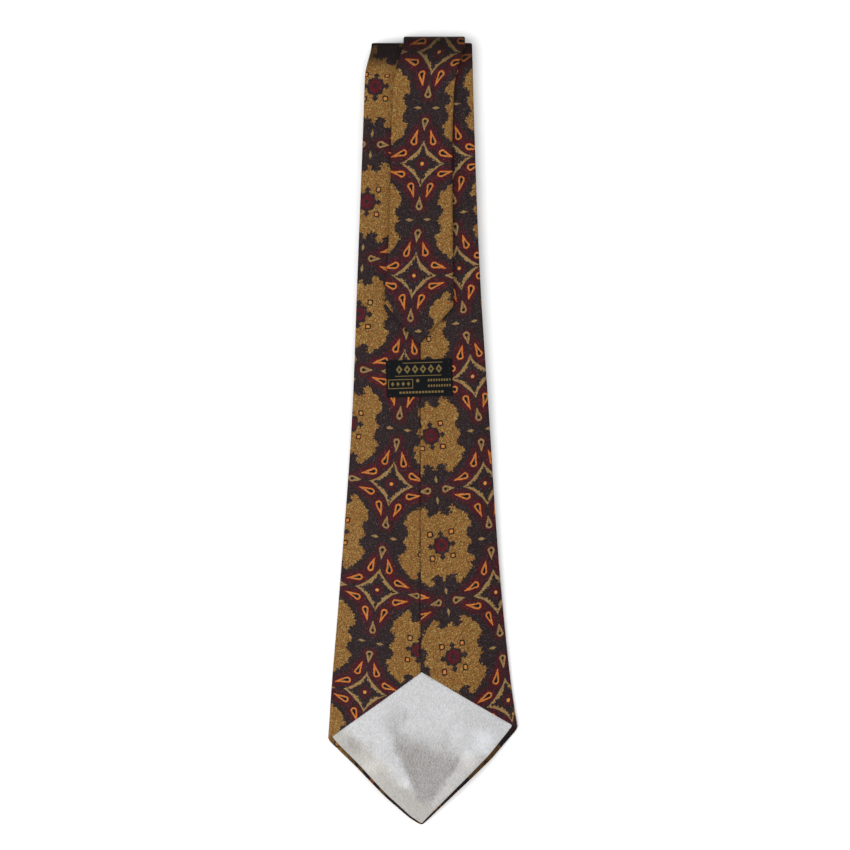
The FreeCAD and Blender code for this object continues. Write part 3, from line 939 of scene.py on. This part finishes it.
# The blade's end and the tail's: rows and columns of their cloths
BEND_ROWS = np.arange(bend_low[1] - 1.5, bend_high[1] + 1.5, 0.5)  # close together, to bend as one
BLADE_ROWS = np.concatenate([BEND_ROWS, np.linspace(BEND_ROWS[-1], TOP_Y, 100)[1:]])
ROLL = np.linspace(-0.5, 0.5, 9)  # round a tube's side, in half turns
SIDE_TURNS = ROLL[:-1]
FLAP_COLUMNS = 26
FRONT_COLUMNS = 46
TIPPING_COLUMNS = 70
TIPPING_STEP = 1.0  # between rows
PAD_COLUMNS = 20
# Columns of a flap near its inner edge, by their distance from that edge
NEAR_LAP = np.array([1.8, 0.8, 0.35, 0.0])
NEAR_GROOVE = UNDER_LAP - np.array([-1.5, -0.9, -0.55, -0.35, -0.15, 0.1, 0.6, 1.6, 3.6, UNDER_LAP])
SETTLING = 8  # rounds in which the low ends of the columns settle on a slanting line
HEM_STEP = 1.2
# How a hem goes on inwards from its roll: share of the rim's width, and how far it dips
HEM_BACK = ((0.45, 0.0), (0.8, 0.05), (0.93, 0.14), (1.0, 0.36))

FRONT_DEPTH = SILK_THICK / 2
BACK_DEPTH = LAYER - SILK_THICK / 2
PAD_DEPTH = 0.82
PAD_INSET = 1.9


def rolled(turn):
    """A place round a tube's side: how far out from the roll's middle, and its depth."""
    return ROUND * math.cos(math.pi * turn), MIDDLE + ROUND * math.sin(math.pi * turn)


def lap_rise(from_edge):
    """The lap climbs onto the left flap."""
    return LAP_RISE * smooth((9.1 - from_edge) / 2.0)


def under_lap(from_edge):
    """The hidden edge of the left flap is pressed flat under the lap."""
    return -0.1 * smooth((from_edge + 6.5) / 1.5)


def under_left(from_edge):
    """The left flap of an end, with a groove beside the lap."""
    groove = 0.15 * np.exp(-(((from_edge - UNDER_LAP - 0.25) / 0.4) ** 2))
    return under_lap(-from_edge) - groove


class End:
    """The blade's end or the tail's, from its point to where it folds over at the top."""

    def __init__(self, place, lattice, edges, middle, outline, apex, step, shared=()):
        self.place, self.lattice, self.edges = place, lattice, edges
        self.middle, self.apex, self.step = middle, apex, step
        self.shared = np.array(shared)  # heights of the rows that all its cloths have in common
        self.outline = np.array(outline, float)  # from its left corner to its right corner
        drops = np.diff(self.outline, axis=0)
        self.steep = math.hypot(1, np.abs(drops[:, 1] / drops[:, 0]).mean())

    def spread(self, low, high=TOP_Y, step=None):
        """Heights along each column, from its own low end up to the shared rows."""
        low = np.atleast_1d(low)
        shared = self.shared if high == TOP_Y else self.shared[:0]
        own_high = shared[0] if len(shared) else high
        count = int((own_high - low.min()) / (step or self.step)) + 1
        own = low + (own_high - low) * np.linspace(0, 1, count)[:, None]
        return np.concatenate([own, shared[1:, None] + 0 * low])

    def point_line(self, x):
        """Height of the point's edge."""
        return np.interp(x, self.outline[:, 0], self.outline[:, 1])

    def parting_line(self, x):
        """Height of the slanted ends of the flaps."""
        left, right = self.outline[0], self.outline[-1]
        places = [left[0], self.apex[0], right[0]]
        return np.interp(x, places, [left[1], self.apex[1], right[1]])

    def seam_edge(self, y):
        return self.middle(y) + SEAM_X + 0 * y

    def flap(self, sign, inner, rises):
        """The left (-1) or right (1) side and the flap behind it, as far in as the line inner."""
        edge, near = (self.edges[1], NEAR_LAP) if sign > 0 else (self.edges[0], NEAR_GROOVE)
        share = np.linspace(0, 1, FLAP_COLUMNS, endpoint=False)

        def centre(y):
            return edge(y) - sign * MIDDLE

        def across(y):
            """Even columns, then some close together beside the lap's edge."""
            even, close = y[..., :FLAP_COLUMNS], y[..., FLAP_COLUMNS:]
            start = centre(even)
            even = start + (inner(even) + sign * near[0] - start) * share
            return np.concatenate([even, inner(close) + sign * near], -1)

        low = np.full(FLAP_COLUMNS + len(near), self.apex[1])
        for _ in range(SETTLING):
            x = across(low)
            beyond = (x - self.apex[0]) * sign < 0
            low = np.where(beyond, self.apex[1], self.parting_line(x))
        turns = len(SIDE_TURNS)
        y = self.spread(np.concatenate([np.full(turns, low[0]), low]))
        x = np.concatenate([centre(y[:, :turns]), across(y[:, turns:])], -1)
        depth = np.full_like(y, BACK_DEPTH)
        for i, turn in enumerate(SIDE_TURNS):
            out, depth[:, i] = rolled(turn)
            x[:, i] += sign * out
        depth[:, turns:] += rises(np.abs(x - inner(y)))[:, turns:]
        behind = (depth > MIDDLE + 0.01)[..., None]
        uv = np.where(behind, mirrored(self.lattice, x, y, edge), self.lattice(x, y))
        return self.place(x, y, depth), uv

    def panel(self, columns, side_inset, point_inset, high=TOP_Y, step=None):
        """Places x and y all over a layer inside the outline. The point's inset depends on x."""
        share = np.linspace(0, 1, columns)

        def across(y):
            start, end = self.edges[0](y) + side_inset, self.edges[1](y) - side_inset
            return start + (end - start) * share

        low = np.full(columns, self.outline[0, 1])
        for _ in range(SETTLING):
            x = across(low)
            low = self.point_line(x) + point_inset(x) * self.steep
        y = self.spread(low, high, step)
        return across(y), y

    def rim(self, x, rims):
        """Width of the printed rim outside the tipping. rims has it at the corners and tip."""
        tip = self.outline[self.outline[:, 1].argmin()]
        return np.interp(x, [self.outline[0, 0], tip[0], self.outline[-1, 0]], rims)

    def hem(self, rims):
        """The point's edges, where the front turns over onto the back as a narrow rim."""
        above = [[edge(y), y] for edge, y in zip(self.edges, self.outline[[0, -1], 1] + 1.5)]
        corners = np.array([above[0], *self.outline, above[1]])
        travel = np.concatenate([[0], np.cumsum(np.linalg.norm(np.diff(corners, axis=0), axis=1))])
        at = np.linspace(0, travel[-1], int(travel[-1] / HEM_STEP))
        path = np.stack([np.interp(at, travel, corners[:, i]) for i in (0, 1)], -1)
        for _ in range(2):  # rounds the corners
            path[1:-1] = path[1:-1] * 0.5 + (path[:-2] + path[2:]) * 0.25
        rim = self.rim(path[:, 0], rims)
        along = unit(np.gradient(path, axis=0))
        inward = np.stack([-along[:, 1], along[:, 0]], -1)
        reach, depth = [], []
        for turn in ROLL:
            out, high = rolled(turn)
            out = MIDDLE - out + 0 * rim
            if turn > 0:
                out = np.minimum(out, rim - 0.3 + 0.2 * turn)
            lift = np.sqrt(np.maximum(ROUND**2 - (MIDDLE - out) ** 2, 0))
            reach.append(out)
            depth.append(MIDDLE + lift if turn > 0 else high + 0 * rim)
        out, top = reach[-1], depth[-1]
        reach += [out + (rim - out) * share for share, _ in HEM_BACK]
        depth += [top - dip for _, dip in HEM_BACK]
        reach, depth = np.array(reach).T, np.array(depth).T
        inwards = inward[:, None] * reach[..., None]
        spot = path[:, None] + inwards
        shown = np.where((depth > MIDDLE)[..., None], path[:, None] - inwards, spot)
        (x, y), (print_x, print_y) = np.moveaxis(spot, -1, 0), np.moveaxis(shown, -1, 0)
        return self.place(x, y, depth), self.lattice(print_x, print_y)

    def envelope(self, ties, rims, painted_shades, cuts):
        """The printed cloth of the end. cuts has its left flap's, right flap's and front's."""
        prefix, facing, body, across, nodes = ties  # facing is 1 where the front faces down
        x, y = self.panel(FRONT_COLUMNS, MIDDLE, always(MIDDLE))
        front = self.place(x, y, FRONT_DEPTH + 0 * x), self.lattice(x, y)
        left = self.flap(-1, lambda y: self.seam_edge(y) + UNDER_LAP, under_left)
        right = self.flap(1, self.seam_edge, lap_rise)
        for name, shape, side, cut in (
            ("flap_left", left, -facing, cuts[0]),
            ("flap_right", right, facing, cuts[1]),
            ("hem", self.hem(rims), facing, None),
        ):
            # Painted shade: the first for the flaps and the front, the second for the hem
            worn = painted_shades[name == "hem"]
            name = f"{prefix}_{name}"
            made = piece(name, SILK, shape, side, body, (), cut, across, None, worn)
        ties = f"{prefix}_front", SILK, front, facing, body, nodes, None, across, None, painted_shades[0]
        sheet_of(piece(*ties), *cuts[2], with_pieces=[made])


BLADE_OUTLINE = [
    (float(blade_left(-164.2)), -164.2),
    (-33.9, -179.0),
    (-18.6, -194.6),
    (-6.0, -205.8),
    (0.4, TIP_Y - 1.0),
    (20.0, -190.7),
    (37.2, -174.4),
    (float(blade_right(-158.2)), -158.2),
]
TAIL_OUTLINE = [
    (float(tail_left(67.6)), 67.6),
    (-1.1, tail_low[1] + 0.2),
    (float(tail_right(65.7)), 65.7),
]
BLADE_RIMS = (2.2, 0.75, 2.9)
TAIL_RIMS = (1.6, 0.8, 1.6)
BLADE_APEX = (0.4, -128.0)  # where the flaps part
TAIL_APEX = (-1.0, 79.0)

blade_edges, tail_edges = (blade_left, blade_right), (tail_left, tail_right)
blade = End(
    on_blade, blade_print, blade_edges, always(0), BLADE_OUTLINE, BLADE_APEX, 2.2, BLADE_ROWS
)
tail = End(on_tail, tail_print, tail_edges, tail_middle, TAIL_OUTLINE, TAIL_APEX, 2.0)
blade.envelope(
    ("blade", 1, "packet", BLADE_BEND, ["blade_panel_end", "blade_panel_bend"]),
    BLADE_RIMS,
    (blade_shade, rim_shade),
    ((58, 367, 0.0153), (53, 361, 0.0135), (100, 411, 0.0285)),
)
tail.envelope(
    ("tail", -1, "tail", None, ["tail_panel_end"]),
    TAIL_RIMS,
    (tail_shade, tail_shade),
    ((26, 136, 0.0031), (21, 137, 0.0023), (37, 158, 0.0047)),
)


# The hidden layers and the folds: whole flattened tubes


def tube_columns():
    """A tube's columns, from the lap's edge right round to the flap under it.

    Each has a and b, where x = middle + a * half + b, a depth, whether it is on the lap (1), under
    it (2) or neither (0), and the side (-1 or 1) that it is reflected about in the print.
    """
    columns = [
        (t, -MIDDLE * t + SEAM_X * (1 - t), BACK_DEPTH, 1, 1) for t in np.linspace(0, 1, 20)
    ]
    for side, turns in ((1, SIDE_TURNS[:0:-1]), (-1, SIDE_TURNS[1:])):
        for turn in turns:
            out, depth = rolled(turn)
            columns.append((side, side * (out - MIDDLE), depth, 0, side * int(turn > 0)))
        if side > 0:
            columns += [(t, -MIDDLE * t, FRONT_DEPTH, 0, 0) for t in np.linspace(1, -1, 30)]
    columns += [
        (t - 1, MIDDLE * (1 - t) + (SEAM_X + UNDER_LAP) * t, BACK_DEPTH, 2, -1)
        for t in np.linspace(0, 1, 18)
    ]
    return np.array(columns).T


def tube(place, middle, half, at, unrolled, lattice):
    """A stretch of tube. at is y or turn for each row, or for each row and column."""
    a, b, depth, rise, side = tube_columns()
    at = np.asarray(at, float)
    at = at if at.ndim == 2 else at[:, None] + 0 * a
    x = middle(at) + a * half(at) + b
    from_edge = x - middle(at) - SEAM_X
    deep = depth + np.where(rise == 1, lap_rise(from_edge), 0)
    deep = deep + np.where(rise == 2, under_lap(from_edge - UNDER_LAP), 0)
    flat_x = np.where(side == 0, x, 2 * (middle(at) + side * half(at)) - x)
    return place(x, at, deep), lattice(flat_x, unrolled(at))


def slanted(start, end, half, slope, count, cut_low):
    """Rows whose one end is a bias cut: y for each row and column."""
    a, b, *_ = tube_columns()
    cut = start if cut_low else end
    cut_y = cut + slope * (a * half(np.array(cut)) + b)
    share = np.linspace(0, 1, count)[:, None]
    start, end = (cut_y, end) if cut_low else (start, cut_y)
    return start + (end - start) * share


def whole(*runs):
    """Runs of a tube as one: each starts where the one before it ended."""
    return [np.concatenate([first] + [more[1:] for more in rest]) for first, *rest in zip(*runs)]


# Lengths of cloth round the folds
BLADE_FOLD_RUN = 4.1
LOW_FOLD_RUN = 5.3
TAIL_FOLD_RUN = 14.8

# How each layer and fold lies, its middle and half its width
under = on_under, under_middle, under_half
rear = on_rear, rear_middle, rear_half
blade_fold = turning(TOP_AXIS_Z, BLADE_Z - TOP_AXIS_Z, False, True)
blade_over = blade_fold, always(FOLD_MIDDLE), always(FOLD_HALF)
neck_over = turning(LOW_FOLD, LOW_FOLD, True, False), always(NECK_X), always(NECK_HALF)
tail_over = turning(TOP_AXIS_Z, TOP_AXIS_Z, True, True), always(TAIL_X), always(TAIL_HALF)
blade_turns = np.linspace(1, 0, 15)
neck_turns = np.linspace(1, 0, 11)
tail_turns = np.linspace(0, 1, 21)


def neck_print(x, run):
    """The print on the neck, which is cut from another place in the cloth."""
    return stack(x / REPEAT_X + 0.31, run / REPEAT_Y + 0.17)


def past_tail_fold(y):
    """The run at y on the rear layer, counted on from the tail, or y at a run."""
    return 2 * TOP_Y + TAIL_FOLD_RUN - y


def rear_tail_print(x, run):
    return tail_print(x - rear_middle(past_tail_fold(run)) + TAIL_X, run)


blade_cut = slanted(TOP_Y, FRONT_SEAM_Y, under_half, 1.0, 80, False)
neck_cut_front = slanted(FRONT_SEAM_Y, LOW_Y, under_half, 1.0, 50, True)
neck_cut_rear = slanted(LOW_Y, REAR_SEAM_Y, rear_half, -1.0, 42, False)
tail_cut = slanted(REAR_SEAM_Y, TOP_Y, rear_half, -1.0, 90, True)

blade_run = whole(
    tube(*blade_over, blade_turns, lambda turn: TOP_Y + BLADE_FOLD_RUN * (1 - turn), blade_print),
    tube(*under, blade_cut, lambda y: 2 * TOP_Y + BLADE_FOLD_RUN - y, blade_print),
)
neck_run = whole(
    tube(*under, neck_cut_front, lambda y: -y, neck_print),
    tube(*neck_over, neck_turns, lambda turn: -LOW_Y + LOW_FOLD_RUN * (1 - turn), neck_print),
    tube(*rear, neck_cut_rear, lambda y: y - 2 * LOW_Y + LOW_FOLD_RUN, neck_print),
)
tail_run = tube(*rear, tail_cut, past_tail_fold, rear_tail_print)
tail_fold = tube(
    *tail_over, tail_turns, lambda turn: TOP_Y + TAIL_FOLD_RUN * (1 - turn), tail_print
)
for name, run, node, cut, *fold in (
    ("blade_under", blade_run, "blade_panel", (127, 262, 0.0255), None, None, fold_shade),
    ("neck", neck_run, "neck_panel", (84, 320, 0.0225)),
    ("tail_under", tail_run, "tail_panel_under", (76, 282, 0.0200), None, None, tail_shade),
    ("tail_fold", tail_fold, "tail_panel_fold", (76, 15), TAIL_TURN, tail_turns, tail_shade),
):
    piece(name, SILK, run, -1, "packet", [node], cut, *fold)


# Tippings


def tipping(end, prefix, body, facing, rims, high, cut):
    """A satin lining. It lies flat under the flaps, and fills out where they part."""
    x, y = end.panel(
        TIPPING_COLUMNS, PAD_INSET, lambda x: end.rim(x, rims) + 0.05, high, TIPPING_STEP
    )
    shown = smooth((end.parting_line(x) - y) / 8)
    from_edge = (y - end.point_line(x)) / end.steep
    allowance = 0.12 * (1 - smooth((from_edge - 6.5) / 1.2))  # the cloth turned in under it
    tuck = 0.28 * (1 - smooth((from_edge - end.rim(x, rims)) / 0.8))
    ripple = 0.06 * waves(x, y, 19, 12) + 0.03 * waves(x, y, 8, 13)
    depth = 1.34 + shown * (0.24 + allowance + ripple) - tuck
    shape = end.place(x, y, depth), stack(x, y)
    name = f"{prefix}_tipping"
    piece(f"{name}_satin", SATIN, shape, facing, body, [name], cut)


for ties, rims, high, cut in (
    ((blade, "blade", "blade_end", -1), BLADE_RIMS, tipping_high[1], (97, 95, 0.0068)),
    ((tail, "tail", "tail", 1), TAIL_RIMS, tail_tipping_high[1], (34, 37, 0.0009)),
):
    tipping(*ties, rims, high, cut)


# Interlining, in four stretches

STRIP_COLUMNS = 12


def strip(place, middle, half, at):
    at = np.asarray(at, float)[:, None] + np.zeros(STRIP_COLUMNS)
    share = np.linspace(-1, 1, STRIP_COLUMNS)
    x = middle(at) + share * (half(at) - PAD_INSET)
    return place(x, at, PAD_DEPTH + 0 * x), stack(x / REPEAT_X, at / REPEAT_Y)


def end_padding(end):
    x, y = end.panel(PAD_COLUMNS, PAD_INSET, always(PAD_INSET))
    return end.place(x, y, PAD_DEPTH + 0 * x), stack(x, y) / REPEAT_X


down = np.linspace(TOP_Y, LOW_Y, 60)
pad_runs = whole(
    strip(*blade_over, blade_turns),
    strip(*under, down),
    strip(*neck_over, neck_turns),
    strip(*rear, down[::-1]),
)
pad_fold = strip(*tail_over, tail_turns)
bend_nodes = ["interlining_blade_end", "interlining_bend"]
for name, shape, facing, body, nodes, cut, *fold in (
    ("blade", end_padding(blade), -1, "packet", bend_nodes, (97, 408, 0.0272), BLADE_BEND),
    ("tail", end_padding(tail), 1, "tail", ["interlining_tail_end"], (34, 155, 0.0043)),
    ("packet", pad_runs, -1, "packet", ["interlining"], (52, 775, 0.0255)),
    ("tail_turn", pad_fold, -1, "packet", ["interlining_fold"], (29, 15.2), TAIL_TURN, tail_turns),
):
    piece(f"interlining_{name}", WOOL, shape, facing, body, nodes, cut, *fold)


# Threads

INSIDE = 1.42  # depth of the threads inside the tube
THREAD_X = 3.0  # how far the hand stitches lie from the lap's middle
SEAM_CLEAR = 30
TIPPING_SEAM_REACH = 1.02
LOOP_RADIUS = 4.3
LOOP_Y = tail_tipping_high[1] + 8.5


def slip_lines(place, middle, _, low, high, clear_of=None):
    """Long hand stitches under the lap, none of them close to a bias seam."""
    lines, y = [], low
    while y + STITCH < high:
        if clear_of is None or y + STITCH < clear_of - SEAM_CLEAR or y > clear_of + SEAM_CLEAR:
            along = np.linspace(y, y + STITCH, 8)
            lines.append(place(middle(along) + THREAD_X, along, INSIDE + 0 * along))
        y += STITCH_PITCH
    return lines


def bias_line(place, middle, half, seam_y, slope):
    x = np.linspace(-1, 1, 24) * (half(np.array(seam_y)) - 1.4)
    return [place(middle(np.array(seam_y)) + x, seam_y + slope * x, INSIDE - 0.1 + 0 * x)]


def edge_lines(end):
    """Machine stitches inside the roll of the point's edges, in two runs that meet at the tip."""
    stop = end.outline[end.outline[:, 1].argmin()]
    lines = []
    for start in (end.outline[0], end.outline[-1]):
        x = start[0] + (stop[0] - start[0]) * np.linspace(0.05, 0.97, 40)
        y = end.point_line(x) + TIPPING_SEAM_REACH * end.steep
        lines.append(end.place(x, y, np.full_like(x, 1.1)))
    return lines


def spare_loop():
    turn = np.linspace(0, 1.9 * math.pi, 40)
    x = tail_middle(LOOP_Y) - 4.5 + LOOP_RADIUS * np.cos(turn)
    return on_tail(x, LOOP_Y + LOOP_RADIUS * np.sin(turn), INSIDE + 0 * x)


blade_back = on_blade, always(0), None
tail_back = on_tail, tail_middle, None
packet_lines = slip_lines(*blade_back, bend_high[1] + 1, TOP_Y)
packet_lines += slip_lines(*under, LOW_Y, TOP_Y, FRONT_SEAM_Y)
packet_lines += slip_lines(*rear, LOW_Y, TOP_Y, REAR_SEAM_Y)
tail_lines = [spare_loop()] + slip_lines(*tail_back, LOOP_Y + 4.5, 178)
for node, body, lines in (
    ("slip_stitches", "packet", packet_lines),
    ("slip_stitches_blade", "blade_end", slip_lines(*blade_back, -110, bend_low[1])),
    ("slip_stitches_tail", "tail", tail_lines),
    ("seam_thread_front", "packet", bias_line(*under, FRONT_SEAM_Y, 1.0)),
    ("seam_thread_rear", "packet", bias_line(*rear, REAR_SEAM_Y, -1.0)),
    ("blade_tipping_seam", "blade_end", edge_lines(blade)),
    ("tail_tipping_seam", "tail", edge_lines(tail)),
):
    made = thread(f"{node}_thread", lines, PALE_THREAD if "tipping" in node else THREAD)
    belongs(made, "sewing_thread", body, node)


# Keeper label: a woven strap with its ends folded in and stitched down

LABEL_X = (label_low[0] + label_high[0]) / 2
LABEL_Y = (label_low[1] + label_high[1]) / 2
LABEL_TILT = math.radians(1.8)
LABEL_END = 17.5
LABEL_HALF = 9.8
LABEL_ROLL = 0.165  # radius of the strap's middle where its ends fold in
LABEL_FOLDED = 3.2  # how far the ends reach in
STITCHES_IN = 1.6  # from the label's edges


def on_label(x, y, height):
    """A place over the blade's back, from the label's own middle."""
    turned_x = LABEL_X + x * math.cos(LABEL_TILT) - y * math.sin(LABEL_TILT)
    turned_y = LABEL_Y + x * math.sin(LABEL_TILT) + y * math.cos(LABEL_TILT)
    base = on_blade(turned_x, turned_y, LAYER + 0 * turned_x)
    base[..., 2] += height
    return base


def strap_height(x):
    """The strap bows up a little between its stitched ends."""
    return 0.5 + 0.42 * smooth((LABEL_END - 1 - np.abs(x)) / 9)


def keeper_label():
    turns = np.linspace(-0.5, 0.5, 7)[1:-1]
    end = LABEL_END - LABEL_THICK / 2 - LABEL_ROLL
    under_x = np.linspace(-end + LABEL_FOLDED, -end, 5)
    under_z = 0 * under_x + 0.17
    top = np.linspace(-end, end, 60)
    left_x = -end - LABEL_ROLL * np.cos(math.pi * turns)
    left_z = 0.335 + LABEL_ROLL * np.sin(math.pi * turns)
    x = np.concatenate([under_x, left_x, top, -left_x[::-1], -under_x[::-1]])
    z = np.concatenate([under_z, left_z, strap_height(top), left_z[::-1], under_z])
    y = np.linspace(-LABEL_HALF, LABEL_HALF, 26)[:, None]
    x, y, z = x + 0 * y, y + 0 * x, z + 0 * y
    shape = on_label(x, y, z), stack(x, y)
    piece("keeper_label_strap", WOVEN, shape, -1, "packet", ["keeper_label"], (42, 19.6))


def label_stitches():
    lines = []
    end, side = LABEL_END - STITCHES_IN, LABEL_HALF - STITCHES_IN
    t = np.linspace(-1, 1, 7)
    for x in (-end, end):
        for y in np.linspace(-side, side, 6):
            over = strap_height(np.array(x)) + LABEL_THICK / 2 + 0.06 - 0.22 * t**4
            lines.append(on_label(x + 0 * t, y + 0.95 * t, over))
    made = thread("label_stitch_thread", lines, DARK_THREAD)
    belongs(made, "sewing_thread", "packet", "label_stitches")


keeper_label()
label_stitches()


# Floor (in millimetres), light and camera (in metres)

FLOOR = 3000
FLOOR_Z = -0.1

floor = bpy.data.materials.new("floor")
floor.use_nodes = True
paint = floor.node_tree.nodes["Principled BSDF"].inputs
paint["Base Color"].default_value = (0.93, 0.93, 0.93, 1)
paint["Roughness"].default_value = 0.9
around = ((-FLOOR, -FLOOR), (FLOOR, -FLOOR), (FLOOR, FLOOR), (-FLOOR, FLOOR))
corners = [(x, y, FLOOR_Z) for x, y in around]
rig.stage(object_from("floor", corners, [[0, 1, 2, 3]], [floor]))


def area_light(name, place, size, power):
    light = bpy.data.lights.new(name, "AREA")
    light.shape, light.size, light.energy = "SQUARE", size, power
    made = placed(bpy.data.objects.new(name, light), place)
    x, y, z = (-a for a in place)
    made.rotation_euler = (math.atan2(math.hypot(x, y), -z), 0, math.atan2(-x, y))
    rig.stage(made)


area_light("key", (-1.1, -0.6, 1.7), 2.4, 52)
area_light("fill", (1.0, 0.6, 2.0), 2.6, 30)
world = bpy.data.worlds.new("studio")
world.use_nodes = True
background = world.node_tree.nodes["Background"].inputs
background["Color"].default_value = (1, 1, 1, 1)
background["Strength"].default_value = 0.35
bpy.context.scene.world = world
bpy.context.scene.view_settings.view_transform = "Standard"

CAMERA_PLACE = (0.0021, 0.0029, 2.0)
FIELD = 0.4505  # width of the view at the blade
SENSOR = 36.0
camera = bpy.data.cameras.new("camera")
camera.sensor_width = SENSOR
camera.lens = SENSOR * (CAMERA_PLACE[2] - BLADE_Z * MM) / FIELD
camera.clip_end = 20
bpy.context.scene.camera = placed(bpy.data.objects.new("camera", camera), CAMERA_PLACE)

with open("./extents.json", "w") as size_file:
    json.dump({"cad": CAD_BOX, "visual": [list(corner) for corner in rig.bounds()]}, size_file)
